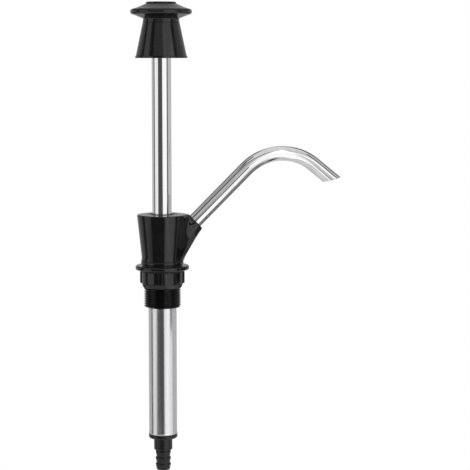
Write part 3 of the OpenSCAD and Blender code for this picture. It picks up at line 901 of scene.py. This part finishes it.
socket_cutter.location = spout_foot * MM
apply_transform()
boolean(head_body, socket_cutter, "DIFFERENCE")
finish_piece(head_body, "head", ["pump_head"], black_gloss, corner=60)

# %% [markdown]
# Below the cone the same moulding has a bead, a thin flange and a threaded shank. The thread is a
# true right-hand screw: one pitch of its outline is drawn by extruding a single point, and the
# Screw modifier winds it upwards. A shank cut into rings would look the same from the front, but
# not from below, where the start of the thread shows.

# %% Threaded shank
THREAD_RADIUS = 16.65
THREAD_DEPTH = 1.75
THREAD_PITCH = 2.2087
SHANK_LENGTH = 34.1
SHANK_TOP = 2.4
SHANK_CHAMFER = 1.1
SHANK_END_STEP = 0.6
SHANK_CLEAR = 0.3
CREST_ROUND = 0.12
ROOT_SHARE = 0.07
FLANK_SHARE = 0.425
CREST_SHARE = 0.455
THREAD_PHASE = 1.5137
THREAD_STEPS = 96
SPARE_TURNS = 3
thread_root = THREAD_RADIUS - THREAD_DEPTH
one_pitch = [
    (thread_root, 0.0),
    (thread_root, ROOT_SHARE),
    (THREAD_RADIUS - CREST_ROUND, FLANK_SHARE),
    (THREAD_RADIUS, CREST_SHARE),
    (THREAD_RADIUS, 1 - CREST_SHARE),
    (THREAD_RADIUS - CREST_ROUND, 1 - FLANK_SHARE),
    (thread_root, 1 - ROOT_SHARE),
    (thread_root, 1.0),
]
thread_start = -SHANK_LENGTH - THREAD_PHASE * THREAD_PITCH
thread_turns = ceil((SHANK_LENGTH + SHANK_TOP) / THREAD_PITCH) + SPARE_TURNS
clear_selection()
bpy.ops.mesh.primitive_plane_add(size=MM)
threaded_shank = bpy.context.object
bpy.ops.object.mode_set(mode="EDIT")
bpy.ops.mesh.select_mode(type="VERT")
bpy.ops.mesh.select_all(action="SELECT")
bpy.ops.mesh.merge(type="CENTER")
bpy.ops.transform.translate(value=(one_pitch[0][0] * MM, 0, thread_start * MM))
for (radius, height), (next_radius, next_height) in zip(one_pitch, one_pitch[1:]):
    extrude_by(((next_radius - radius) * MM, 0, (next_height - height) * THREAD_PITCH * MM))
bpy.ops.object.mode_set(mode="OBJECT")
apply_modifier(
    threaded_shank,
    "SCREW",
    axis="Z",
    angle=2 * pi,
    screw_offset=THREAD_PITCH * MM,
    iterations=thread_turns,
    steps=THREAD_STEPS,
    render_steps=THREAD_STEPS,
)
open_for_edit(threaded_shank)
bpy.ops.mesh.select_all(action="SELECT")
bpy.ops.mesh.remove_doubles(threshold=MERGE_GAP * MM)
bpy.ops.mesh.select_all(action="SELECT")
bpy.ops.mesh.fill_holes(sides=0)
face_outwards()
shank_limit = turned(
    "shank_limit",
    [
        (thread_root + SHANK_END_STEP, -SHANK_LENGTH),
        (THREAD_RADIUS + SHANK_CLEAR, -SHANK_LENGTH + SHANK_CHAMFER),
        (THREAD_RADIUS + SHANK_CLEAR, SHANK_TOP),
    ],
    hollow=False,
)
boolean(threaded_shank, shank_limit, "INTERSECT")
print("thread turns:", thread_turns, "faces:", len(threaded_shank.data.polygons))

# %% [markdown]
# The flange, the neck and the bead are one turned solid. It is joined to the shank, and a last
# cutter bores both for the barrel and the outlet chamber.

# %% Flange, bead and bore
FLANGE_RADIUS = 24.2
FLANGE_THICK = 3.8
BEAD_RADIUS = 19.2
BEAD_LOW = 5.0
COLLAR_RADIUS = 18.3
RECESS_RADIUS = 20.9
RECESS_TOP = 1.5
SHANK_OVERLAP = 0.8
BARREL_BORE = 12.74
BARREL_STOP = 6.0
head_foot = turned(
    "head_foot",
    [
        (thread_root - SHANK_OVERLAP, RECESS_TOP),
        (RECESS_RADIUS, RECESS_TOP),
        (RECESS_RADIUS, 0),
        (FLANGE_RADIUS, 0),
        (FLANGE_RADIUS, FLANGE_THICK),
        (COLLAR_RADIUS, FLANGE_THICK),
        (COLLAR_RADIUS, BEAD_LOW),
        (BEAD_RADIUS, BEAD_LOW),
        (BEAD_RADIUS, HEAD_LOW),
    ],
    hollow=False,
)
round_ring(head_foot, FLANGE_RADIUS, 0, size=1.3, segments=5)
round_ring(head_foot, FLANGE_RADIUS, FLANGE_THICK, size=1.5, segments=5)
round_ring(head_foot, COLLAR_RADIUS, FLANGE_THICK, size=0.6)
round_ring(head_foot, COLLAR_RADIUS, BEAD_LOW, size=0.4)
round_ring(head_foot, BEAD_RADIUS, BEAD_LOW, size=0.7)
round_ring(head_foot, BEAD_RADIUS, HEAD_LOW, size=1.2, segments=5)
boolean(head_foot, threaded_shank, "UNION")
bore_cutter = turned(
    "bore_cutter",
    [
        (BARREL_BORE, -SHANK_LENGTH - CUT_PAST),
        (BARREL_BORE, BARREL_STOP),
        (CHAMBER_RADIUS, BARREL_STOP),
        (CHAMBER_RADIUS, HEAD_LOW + CUT_PAST),
    ],
    hollow=False,
)
boolean(head_foot, bore_cutter, "DIFFERENCE")
finish_piece(head_foot, "head", ["pump_head"], black_gloss, corner=35)

# %% [markdown]
# ## Gland and wiper
# A screwed gland ring holds the rod's seal down in the head's pocket, and a soft wiper lip fills
# the gap around the rod. Only their top faces show, as two thin rings around the rod.

# %% Gland ring and wiper lip
GLAND_TOP = HEAD_TOP - 0.3
GLAND_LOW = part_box("gland_cap")[0].z / MM
WIPER_RADIUS = 10.6
WIPER_SEAT = GLAND_TOP - 2.3
WIPER_TILT = 0.2
FIT_GAP = 0.04
RUN_GAP = 0.05
gland_edge = GLAND_RADIUS - FIT_GAP
wiper_pocket = WIPER_RADIUS + FIT_GAP
rod_gap = ROD_RADIUS + RUN_GAP
gland_ring = turned(
    "gland_ring",
    [
        (rod_gap, GLAND_LOW),
        (gland_edge, GLAND_LOW),
        (gland_edge, GLAND_TOP),
        (wiper_pocket, GLAND_TOP),
        (wiper_pocket, WIPER_SEAT),
        (rod_gap, WIPER_SEAT),
    ],
)
round_ring(gland_ring, gland_edge, GLAND_TOP, size=0.5)
round_ring(gland_ring, wiper_pocket, GLAND_TOP, size=0.2, segments=2)
finish_piece(gland_ring, "head", ["gland_cap"], black_gloss)
wiper_lip = turned(
    "wiper_lip",
    [
        (rod_gap, WIPER_SEAT),
        (WIPER_RADIUS, WIPER_SEAT),
        (WIPER_RADIUS, GLAND_TOP - WIPER_TILT),
        (rod_gap, GLAND_TOP + WIPER_TILT),
    ],
)
round_ring(wiper_lip, WIPER_RADIUS, GLAND_TOP - WIPER_TILT, size=0.25, segments=3)
finish_piece(wiper_lip, "head", ["rod_wiper"], seal_rubber)

# %% [markdown]
# ## The spout
# The spout is one bent tube. A ring is extruded up the straight leg, spun round the bend and
# extruded again for the tail, the end is cut off on a slant, and Solidify gives the skin its
# wall. Only the faces past the middle of the bend are cut, because the slanted plane also meets
# the leg. A curve with a bevel would also do, but the spun mesh has even faces around the bend.

# %% Spout
SPOUT_RADIUS = 6.75
SPOUT_WALL = 1.0
SPOUT_LEG = 66.2
BEND_RADIUS = 46.8
BEND_TURN = 84.0
TAIL_LEG = 21.8
CUT_SLANT = 35.0
SPOUT_COLUMNS = 96
LEG_STEPS = 8
BEND_STEPS = 48
TAIL_STEPS = 4
SHARP_CORNER = 50.0
SPOUT_EDGE = 0.22
leg_start = spout_foot + spout_way * (boss_length - SOCKET_DEPTH)
leg_end = leg_start + spout_way * (SOCKET_DEPTH + SPOUT_LEG)
bend_middle = leg_end + boss_under * BEND_RADIUS
tail_slope = radians(SPOUT_SLOPE - BEND_TURN)
tail_way = Vector((cos(tail_slope), 0, sin(tail_slope)))
tail_start = bend_middle + Vector((-sin(tail_slope), 0, cos(tail_slope))) * BEND_RADIUS
cut_place = tail_start + tail_way * TAIL_LEG
cut_slope = tail_slope - radians(CUT_SLANT)
cut_way = Vector((cos(cut_slope), 0, sin(cut_slope)))
leg_step = spout_way * ((SOCKET_DEPTH + SPOUT_LEG) / LEG_STEPS * MM)
tail_step = tail_way * ((TAIL_LEG + 2 * SPOUT_RADIUS) / TAIL_STEPS * MM)
clear_selection()
bpy.ops.mesh.primitive_circle_add(
    vertices=SPOUT_COLUMNS,
    radius=SPOUT_RADIUS * MM,
    location=leg_start * MM,
    rotation=(0, radians(90 - SPOUT_SLOPE), 0),
)
chrome_spout = bpy.context.object
chrome_spout.name = "chrome_spout"
apply_transform()
bpy.ops.object.mode_set(mode="EDIT")
bpy.ops.mesh.select_all(action="SELECT")
for part in range(LEG_STEPS):
    extrude_by(leg_step)
bpy.ops.mesh.spin(
    steps=BEND_STEPS, angle=radians(BEND_TURN), center=bend_middle * MM, axis=(0, -1, 0)
)
for part in range(TAIL_STEPS):
    extrude_by(tail_step)
bpy.ops.mesh.select_all(action="SELECT")
bpy.ops.mesh.remove_doubles(threshold=MERGE_GAP * MM)
bpy.ops.mesh.select_mode(type="FACE")
bpy.ops.mesh.select_all(action="DESELECT")
tube_skin = bmesh.from_edit_mesh(chrome_spout.data)
for face in tube_skin.faces:
    face.select_set(face.calc_center_median().x > bend_middle.x * MM)
bmesh.update_edit_mesh(chrome_spout.data)
bpy.ops.mesh.bisect(plane_co=cut_place * MM, plane_no=cut_way, clear_outer=True)
face_outwards()
apply_modifier(
    chrome_spout, "SOLIDIFY", thickness=SPOUT_WALL * MM, offset=-1, use_even_offset=True
)
open_for_edit(chrome_spout)
bpy.ops.mesh.select_mode(type="EDGE")
bpy.ops.mesh.edges_select_sharp(sharpness=radians(SHARP_CORNER))
round_picked(SPOUT_EDGE, segments=3)
finish_piece(chrome_spout, "head", ["spout_tube"], bright_chrome)

# %% [markdown]
# ## Gasket, slip washer and deck nut
# Under the flange a rubber gasket seals the worktop, a thin slip washer lets the nut turn against
# it, and the nut clamps all of it. The nut is a turned ring with a tapered lower end. Its four
# grip ribs are blocks with rounded outer edges, one at each quarter turn.

# %% Gasket and washer
def flat_ring(name, inner, outer, low, top):
    return turned(name, [(inner, low), (outer, low), (outer, top), (inner, top)])


GASKET_BORE = 16.75
GASKET_RADIUS = 20.7
GASKET_LOW = -0.3
WASHER_BORE = 16.95
WASHER_RADIUS = 19.9
WASHER_LOW = -1.6
WASHER_TOP = -0.6
gasket_ring = flat_ring("gasket_ring", GASKET_BORE, GASKET_RADIUS, GASKET_LOW, RECESS_TOP)
for radius in (GASKET_BORE, GASKET_RADIUS):
    round_ring(gasket_ring, radius, GASKET_LOW, size=0.4)
finish_piece(gasket_ring, "head", ["deck_gasket"], seal_rubber)
washer_ring = flat_ring("washer_ring", WASHER_BORE, WASHER_RADIUS, WASHER_LOW, WASHER_TOP)
for height in (WASHER_LOW, WASHER_TOP):
    round_ring(washer_ring, WASHER_RADIUS, height, size=0.25, segments=3)
finish_piece(washer_ring, "washer", ["slip_washer"], black_matte)

# %% Deck nut
NUT_TOP = -1.65
NUT_LOW = -16.15
NUT_RADIUS = 18.8
NUT_END_RADIUS = NUT_RADIUS - 1.4
NUT_BORE = 16.95
NUT_TAPER = 3.7
NUT_RIB_RADIUS = 20.1
NUT_RIB_WIDTH = 4.4
NUT_RIB_LENGTH = 10.6
NUT_RIB_TURN = 12
NUT_RIB_DROP = 0.05
NUT_RIB_FOOT = 0.6
NUT_RIB_EDGE = 0.7
ribbed_nut = turned(
    "ribbed_nut",
    [
        (NUT_BORE, NUT_LOW),
        (NUT_END_RADIUS, NUT_LOW),
        (NUT_RADIUS, NUT_LOW + NUT_TAPER),
        (NUT_RADIUS, NUT_TOP),
        (NUT_BORE, NUT_TOP),
    ],
)
round_ring(ribbed_nut, NUT_END_RADIUS, NUT_LOW, size=0.25, segments=3)
round_ring(ribbed_nut, NUT_RADIUS, NUT_LOW + NUT_TAPER, size=1.0)
round_ring(ribbed_nut, NUT_RADIUS, NUT_TOP, size=0.4)
grip_top = NUT_TOP - NUT_RIB_DROP
grip_low = grip_top - NUT_RIB_LENGTH
for turn in (0, 90, 180, 270):
    grip = block(NUT_BORE + NUT_RIB_FOOT, NUT_RIB_RADIUS, NUT_RIB_WIDTH, grip_low, grip_top)
    open_for_edit(grip)
    pick_edges(grip, lambda spot: spot.x > NUT_RIB_RADIUS - NEAR)
    round_picked(NUT_RIB_EDGE, segments=4)
    turn_about_axis(grip, turn - NUT_RIB_TURN)
    boolean(ribbed_nut, grip, "UNION")
finish_piece(ribbed_nut, "nut", ["deck_nut"], black_gloss)

# %% [markdown]
# ## The barrel
# The barrel is a drawn metal tube. Its lower edge is rolled into a small bead, which draws a
# bright line just above the hose tail. The bead is an arc in the turned outline, so it needs no
# bevel of its own.

# %% Barrel
BARREL_RADIUS = 12.7
BARREL_WALL = 0.9
BARREL_LOW = -151.1
BARREL_TOP = 4.8
BEAD_MIDDLE = BARREL_RADIUS - 0.75
BEAD_REACH = 1.05
BEAD_HALF = 1.05
BEAD_ARC = range(-90, 43, 11)
bead = []
for turn in BEAD_ARC:
    out = BEAD_MIDDLE + BEAD_REACH * cos(radians(turn))
    up = BARREL_LOW + BEAD_HALF * (1 + sin(radians(turn)))
    bead.append((out, up))
drawn_barrel = turned(
    "drawn_barrel",
    [
        *bead,
        (BARREL_RADIUS, BARREL_LOW + 2 * BEAD_HALF),
        (BARREL_RADIUS, BARREL_TOP),
        (BARREL_RADIUS - BARREL_WALL, BARREL_TOP),
        (BARREL_RADIUS - BARREL_WALL, BARREL_LOW),
    ],
)
round_ring(drawn_barrel, BARREL_RADIUS, BARREL_TOP, size=0.2, segments=2)
finish_piece(drawn_barrel, "head", ["barrel_tube"], drawn_tube)

# %% [markdown]
# ## The hose tail
# The hose tail plugs the barrel: a lip under the barrel's edge, a stem, and three barbs that grip
# the hose. The plug with its seal groove and valve seat is inside the barrel. The outline goes up
# the outside from the spigot's end and comes back down the bore.

# %% Hose tail
LIP_RADIUS = 13.0
LIP_LOW = BARREL_LOW - 3.7
STEM_RADIUS = 8.35
STEM_LOW = LIP_LOW - 11.1
BARB_RADIUS = 6.95
BARB_ROOT = 6.15
BARB_PITCH = 5.8
BARB_LAND = 0.8
BARB_TAPER = 0.75
BARB_COUNT = 3
SPIGOT_LOW = STEM_LOW - 18.7
SPIGOT_END_RADIUS = BARB_ROOT - 0.5
SPIGOT_CHAMFER = 0.8
WATERWAY = 3.8
PLUG_RADIUS = 11.76
PLUG_TOP = BARREL_LOW + 13
GROOVE_RADIUS = PLUG_RADIUS - 1.7
GROOVE_HALF = 1.2
SEAL_HEIGHT = PLUG_TOP - 4.4
VALVE_ROOM = 6.6
VALVE_SEAT = PLUG_TOP - 10
first_barb = STEM_LOW - 1.2
crests = [first_barb - BARB_PITCH * number for number in reversed(range(BARB_COUNT))]
barbs = []
for crest in crests:
    barbs += [
        (BARB_ROOT, crest - BARB_LAND - (BARB_PITCH - BARB_LAND) * BARB_TAPER),
        (BARB_RADIUS, crest - BARB_LAND),
        (BARB_RADIUS, crest),
        (BARB_ROOT, crest),
    ]
tail_outline = [
    (WATERWAY, SPIGOT_LOW),
    (SPIGOT_END_RADIUS, SPIGOT_LOW),
    (BARB_ROOT, SPIGOT_LOW + SPIGOT_CHAMFER),
    *barbs,
    (BARB_ROOT, STEM_LOW),
    (STEM_RADIUS, STEM_LOW),
    (STEM_RADIUS, LIP_LOW),
    (LIP_RADIUS, LIP_LOW),
    (LIP_RADIUS, BARREL_LOW),
    (PLUG_RADIUS, BARREL_LOW),
    (PLUG_RADIUS, SEAL_HEIGHT - GROOVE_HALF),
    (GROOVE_RADIUS, SEAL_HEIGHT - GROOVE_HALF),
    (GROOVE_RADIUS, SEAL_HEIGHT + GROOVE_HALF),
    (PLUG_RADIUS, SEAL_HEIGHT + GROOVE_HALF),
    (PLUG_RADIUS, PLUG_TOP),
    (VALVE_ROOM, PLUG_TOP),
    (VALVE_ROOM, VALVE_SEAT + VALVE_ROOM - WATERWAY),
    (WATERWAY, VALVE_SEAT),
]
barbed_tail = turned("barbed_tail", tail_outline)
for crest in crests:
    round_ring(barbed_tail, BARB_RADIUS, crest - BARB_LAND, size=0.3, segments=3)
    round_ring(barbed_tail, BARB_RADIUS, crest, size=0.2, segments=3)
round_ring(barbed_tail, SPIGOT_END_RADIUS, SPIGOT_LOW, size=0.3, segments=3)
round_ring(barbed_tail, STEM_RADIUS, STEM_LOW, size=1.1)
round_ring(barbed_tail, STEM_RADIUS, LIP_LOW, size=0.9)
round_ring(barbed_tail, LIP_RADIUS, LIP_LOW, size=1.5, segments=6)
round_ring(barbed_tail, LIP_RADIUS, BARREL_LOW, size=0.4, segments=3)
round_ring(barbed_tail, PLUG_RADIUS, PLUG_TOP, size=0.6, segments=3)
finish_piece(barbed_tail, "head", ["hose_tail"], black_satin)

# %% [markdown]
# ## What is inside
# The screw, seals, valve balls and piston are inside and don't show, so their CAD solids stay.
# Each still gets the finish of its material, so that a cutaway looks right.

# %% Finishes of the inner pieces
INNER_FINISHES = {
    "steel": plain_steel,
    "brass": turned_brass,
    "rubber": seal_rubber,
    "nylon": natural_nylon,
}
slot_of = {part["node"]: part["material_slot"] for part in frame["record"]["subparts"]}
for node_name, node in frame["nodes"].items():
    if node.hide_render:
        continue
    node.data.materials.clear()
    node.data.materials.append(INNER_FINISHES[slot_of[node_name]])
    print(node_name, "keeps its solid, in", slot_of[node_name])

# %% [markdown]
# ## Light
# Chrome and black gloss show little but what they mirror, so the studio matters more than the
# colours. A tall softbox stands on the right in two parts, of which the upper one slants in
# front of the pump. A small one lights the lower barrel from the right, and a wide one hangs
# above the camera. Their places are in metres, as seen from the front.

# %% Softboxes
def softbox(name, spot, toward, width, height, level):
    away = from_front(spot) - from_front(toward)
    clear_selection()
    bpy.ops.object.light_add(
        type="AREA", location=from_front(spot), rotation=away.to_track_quat("Z", "Y").to_euler()
    )
    lamp = bpy.context.object
    lamp.name = name
    lamp.data.shape = "RECTANGLE"
    lamp.data.size = width
    lamp.data.size_y = height
    lamp.data.energy = level * pi * width * height
    lamp.visible_camera = False
    print(name, "at", [round(x, 2) for x in spot], "watts", round(lamp.data.energy, 2))


RIGHT_NEAR = Vector((0.16, -0.070))
RIGHT_LEVEL = 0.5
BARREL_LIGHT_HEIGHT = -0.123
for name, far_end, low_edge, high_edge in (
    ("right_low", Vector((0.158, -0.5)), -0.30, -0.05),
    ("right_high", Vector((0.088, -0.5)), -0.05, 0.27),
):
    along = RIGHT_NEAR - far_end
    middle = (RIGHT_NEAR + far_end) / 2
    facing = middle + Vector((-along.y, along.x))
    height = (low_edge + high_edge) / 2
    softbox(
        name,
        spot=(*middle, height),
        toward=(*facing, height),
        width=along.length,
        height=high_edge - low_edge,
        level=RIGHT_LEVEL,
    )
softbox(
    "barrel_softbox",
    spot=(0.0755, -0.0264, BARREL_LIGHT_HEIGHT),
    toward=(0, 0, BARREL_LIGHT_HEIGHT),
    width=0.026,
    height=0.114,
    level=0.7,
)
softbox(
    "top_softbox",
    spot=(-0.17, -1.22, 0.76),
    toward=(0, 0, 0.1),
    width=1.3,
    height=0.80,
    level=0.42,
)

# %% [markdown]
# Three cards stand out of the camera's sight, as a photographer sets them to draw lines in
# chrome. A black one to the right of the flange is the dark patch under the boss. A narrow black
# strip along the spout's straight leg is the thin dark line there, and a grey one under the leg
# is its dark lower edge.

# %% Cards
PAPER_ROUGHNESS = 0.9


def paper(name, shade):
    made = bpy.data.materials.new(name)
    made.use_nodes = True
    shader = made.node_tree.nodes["Principled BSDF"]
    shader.inputs["Base Color"].default_value = (shade, shade, shade, 1)
    shader.inputs["Roughness"].default_value = PAPER_ROUGHNESS
    return made


card_black = paper("card_black", 0.02)
card_grey = paper("card_grey", 0.6)


def card(name, spot, turn, height, width, finish):
    clear_selection()
    bpy.ops.mesh.primitive_plane_add(size=1)
    sheet = bpy.context.object
    sheet.name = name
    sheet.scale = (height, width, 1)
    sheet.rotation_euler = turn
    sheet.location = spot
    apply_transform()
    sheet.data.materials.append(finish)
    sheet.visible_camera = False
    sheet.visible_shadow = False
    print(name, [[round(x, 3) for x in corner.co] for corner in sheet.data.vertices])


STRIP_OFFSET = Vector((1.4, -32.0, 0.4))
UNDER_ALONG = 2.0
UNDER_DROP = 50.0
UNDER_BACK = Vector((0, 3, 0))
leg_middle = boss_end + spout_way * (SPOUT_LEG / 2)
under_leg = leg_middle + spout_way * UNDER_ALONG + boss_under * UNDER_DROP + UNDER_BACK
card(
    "flange_card",
    spot=from_front((0.15, 0.019, -0.0145)),
    turn=(0, radians(90), radians(VIEW_TURN)),
    height=0.035,
    width=0.082,
    finish=card_black,
)
card(
    "spout_card",
    spot=(leg_middle + STRIP_OFFSET) * MM,
    turn=(radians(90), radians(-SPOUT_SLOPE), 0),
    height=(SPOUT_LEG + 6) * MM,
    width=6.0 * MM,
    finish=card_black,
)
card(
    "under_card",
    spot=under_leg * MM,
    turn=(0, radians(-SPOUT_SLOPE), 0),
    height=(SPOUT_LEG + 8) * MM,
    width=64 * MM,
    finish=card_grey,
)

# %% [markdown]
# ## The room
# The rest of the studio is painted into the world by direction, and only mirrors see it: the dark
# room in front, the sweep behind, a light on the left, a wall on the right with a brighter band,
# the ceiling, the table, and shaded corners at the back. Each ends in a soft edge, written as the
# place where it is dark and the place where it is light. The camera sees plain white, and
# everything else gets an even fill.

# %% Directions in the room
world = bpy.data.worlds.new("studio")
bpy.context.scene.world = world
world.use_nodes = True
studio = world.node_tree
studio.nodes.clear()
direction = studio.nodes.new("ShaderNodeTexCoord")
as_from_front = studio.nodes.new("ShaderNodeVectorRotate")
as_from_front.rotation_type = "Z_AXIS"
as_from_front.inputs["Angle"].default_value = radians(-VIEW_TURN)
split = studio.nodes.new("ShaderNodeSeparateXYZ")
wire(studio, direction, "Generated", as_from_front, "Vector")
wire(studio, as_from_front, "Vector", split, "Vector")


def combine(operation, first, second=0.0):
    node = with_operation(studio, "ShaderNodeMath", operation)
    for socket, value in zip(node.inputs, (first, second)):
        if isinstance(value, float):
            socket.default_value = value
        else:
            studio.links.new(value, socket)
    return node.outputs["Value"]


def ramp(value, edge, low=0.0, high=1.0):
    node = stretch(studio, *edge, low, high)
    studio.links.new(value, node.inputs["Value"])
    return node.outputs["Result"]


def between(value, first_edge, second_edge):
    return combine("MINIMUM", ramp(value, first_edge), ramp(value, second_edge))


def bearings(dark, light):
    return radians(dark), radians(light)


across, depth, rise = (split.outputs[axis] for axis in "XYZ")
bearing = combine("ARCTAN2", across, combine("MULTIPLY", depth, -1.0))
steepness = combine("ABSOLUTE", rise)
print("world", world.name)

# %% Sweep, ceiling and table
FRONT_LEVEL = 0.085
SWEEP_LEVEL = 0.55
SWEEP_RIGHT = 0.18
SWEEP_LEFT = 0.19
SWEEP_EDGE = (0.0, 0.06)
CEILING_LEVEL = 0.75
CEILING_EDGE = (0.70, 0.80)
TABLE_LEVEL = 0.75
TABLE_EDGE = (-0.36, -0.46)
right_skew = combine("MULTIPLY", combine("MAXIMUM", across), SWEEP_RIGHT)
left_skew = combine("MULTIPLY", combine("MINIMUM", across), SWEEP_LEFT)
skewed = combine("ADD", depth, combine("ADD", right_skew, left_skew))
backdrop = ramp(skewed, SWEEP_EDGE, FRONT_LEVEL, SWEEP_LEVEL)
ceiling = ramp(rise, CEILING_EDGE, 0.0, CEILING_LEVEL)
table = ramp(rise, TABLE_EDGE, 0.0, TABLE_LEVEL)
print("sweep", SWEEP_LEVEL, "ceiling", CEILING_LEVEL, "table", TABLE_LEVEL)

# %% Left light and right wall
LEFT_LEVEL = 0.97
LEFT_LEAN = 0.9
LEFT_BACK_EDGE = bearings(-89, -84)
LEFT_FRONT_EDGE = bearings(-35, -41)
LEFT_LOW_EDGE = (-0.37, -0.25)
LEFT_HIGH_EDGE = (0.62, 0.54)
WALL_LEVEL = 0.62
WALL_FRONT_EDGE = bearings(12, 16)
WALL_BACK_EDGE = bearings(66, 62)
BAND_LEVEL = 1.1
BAND_LOW_EDGE = (0.12, 0.26)
BAND_HIGH_EDGE = (0.54, 0.42)
leaning = combine("ADD", bearing, combine("MULTIPLY", steepness, LEFT_LEAN))
left_sides = combine("MINIMUM", ramp(bearing, LEFT_BACK_EDGE), ramp(leaning, LEFT_FRONT_EDGE))
left_ends = between(rise, LEFT_LOW_EDGE, LEFT_HIGH_EDGE)
left_light = combine("MULTIPLY", combine("MULTIPLY", left_sides, left_ends), LEFT_LEVEL)
wall_sides = between(bearing, WALL_FRONT_EDGE, WALL_BACK_EDGE)
wall_band = between(rise, BAND_LOW_EDGE, BAND_HIGH_EDGE)
right_wall = combine("MULTIPLY", wall_sides, ramp(wall_band, (0.0, 1.0), WALL_LEVEL, BAND_LEVEL))
print("left light", LEFT_LEVEL, "right wall", WALL_LEVEL, "its band", BAND_LEVEL)

# %% Shaded corners, and what each ray sees
CORNER_SHADE = 0.75
ASIDE_EDGE = (0.15, 0.30)
STEEP_EDGE = (0.25, 0.36)
BACK_EDGE = (0.35, 0.50)
FILL_LEVEL = 0.3
beside_pump = combine("MAXIMUM", left_light, right_wall)
above_and_below = combine("MAXIMUM", ceiling, table)
lit = combine("MAXIMUM", combine("MAXIMUM", backdrop, beside_pump), above_and_below)
aside = ramp(combine("ABSOLUTE", across), ASIDE_EDGE)
steep_aside = combine("MULTIPLY", aside, ramp(steepness, STEEP_EDGE))
corner = combine("MULTIPLY", steep_aside, ramp(depth, BACK_EDGE))
shaded = combine("SUBTRACT", 1.0, combine("MULTIPLY", corner, CORNER_SHADE))
room = combine("MULTIPLY", lit, shaded)
rays = studio.nodes.new("ShaderNodeLightPath")
mirrored = combine("MAXIMUM", rays.outputs["Is Glossy Ray"], rays.outputs["Is Transmission Ray"])
seen_white = place(studio, "ShaderNodeBackground", Color=(1, 1, 1, 1), Strength=1.0)
mirrored_room = place(studio, "ShaderNodeBackground", Strength=1.0)
soft_fill = place(studio, "ShaderNodeBackground", Color=(1, 1, 1, 1), Strength=FILL_LEVEL)
mirror_mix = studio.nodes.new("ShaderNodeMixShader")
camera_mix = studio.nodes.new("ShaderNodeMixShader")
world_out = studio.nodes.new("ShaderNodeOutputWorld")
studio.links.new(room, mirrored_room.inputs["Color"])
studio.links.new(mirrored, mirror_mix.inputs["Fac"])
wire(studio, soft_fill, "Background", mirror_mix, 1)
wire(studio, mirrored_room, "Background", mirror_mix, 2)
wire(studio, rays, "Is Camera Ray", camera_mix, "Fac")
wire(studio, mirror_mix, "Shader", camera_mix, 1)
wire(studio, seen_white, "Background", camera_mix, 2)
wire(studio, camera_mix, "Shader", world_out, "Surface")
print("room nodes:", len(studio.nodes))

# %% [markdown]
# ## Floor
# The pump hangs in its worktop with the barrel free below, so the floor is a pale sheet some way
# under the hose tail. To the camera it is white, with the pump's soft shadow on it. Seen from
# below it is clear, so that it hides nothing.

# %% Floor sheet
FLOOR_HEIGHT = -0.40
FLOOR_SIZE = 1.1
FLOOR_CORNER = 0.2
FLOOR_SHADE = 0.86
CAMERA_GLOW = 0.55
MIRROR_GLOW = 0.35
clear_selection()
bpy.ops.mesh.primitive_plane_add(size=FLOOR_SIZE, location=(0, 0, 0))
floor_sheet = bpy.context.object
floor_sheet.name = "floor_sheet"
bpy.ops.object.mode_set(mode="EDIT")
bpy.ops.transform.translate(value=(0, 0, FLOOR_HEIGHT))
bpy.ops.mesh.bevel(offset=FLOOR_CORNER, segments=12, affect="VERTICES")
bpy.ops.object.mode_set(mode="OBJECT")
pale_floor = paper("pale_floor", FLOOR_SHADE)
floor_tree = pale_floor.node_tree
glow = place(floor_tree, "ShaderNodeEmission", Color=(1, 1, 1, 1))
lifted = floor_tree.nodes.new("ShaderNodeAddShader")
clear = floor_tree.nodes.new("ShaderNodeBsdfTransparent")
floor_rays = floor_tree.nodes.new("ShaderNodeLightPath")
sides = floor_tree.nodes.new("ShaderNodeNewGeometry")
to_camera = with_operation(floor_tree, "ShaderNodeMath", "MULTIPLY")
to_camera.inputs[1].default_value = CAMERA_GLOW
to_mirror = with_operation(floor_tree, "ShaderNodeMath", "MULTIPLY_ADD")
to_mirror.inputs[1].default_value = MIRROR_GLOW
side_pick = floor_tree.nodes.new("ShaderNodeMixShader")
wire(floor_tree, floor_tree.nodes["Principled BSDF"], "BSDF", lifted, 0)
wire(floor_tree, glow, "Emission", lifted, 1)
wire(floor_tree, floor_rays, "Is Camera Ray", to_camera, 0)
wire(floor_tree, floor_rays, "Is Glossy Ray", to_mirror, 0)
wire(floor_tree, to_camera, "Value", to_mirror, 2)
wire(floor_tree, to_mirror, "Value", glow, "Strength")
wire(floor_tree, sides, "Backfacing", side_pick, "Fac")
wire(floor_tree, lifted, "Shader", side_pick, 1)
wire(floor_tree, clear, "BSDF", side_pick, 2)
wire(floor_tree, side_pick, "Shader", floor_tree.nodes["Material Output"], "Surface")
floor_sheet.data.materials.append(pale_floor)
print("floor at", FLOOR_HEIGHT)

# %% [markdown]
# ## The end
# At the end nothing is left selected. The dressed model has to stay inside the CAD model's
# box.

# %% Clear the selection
clear_selection()
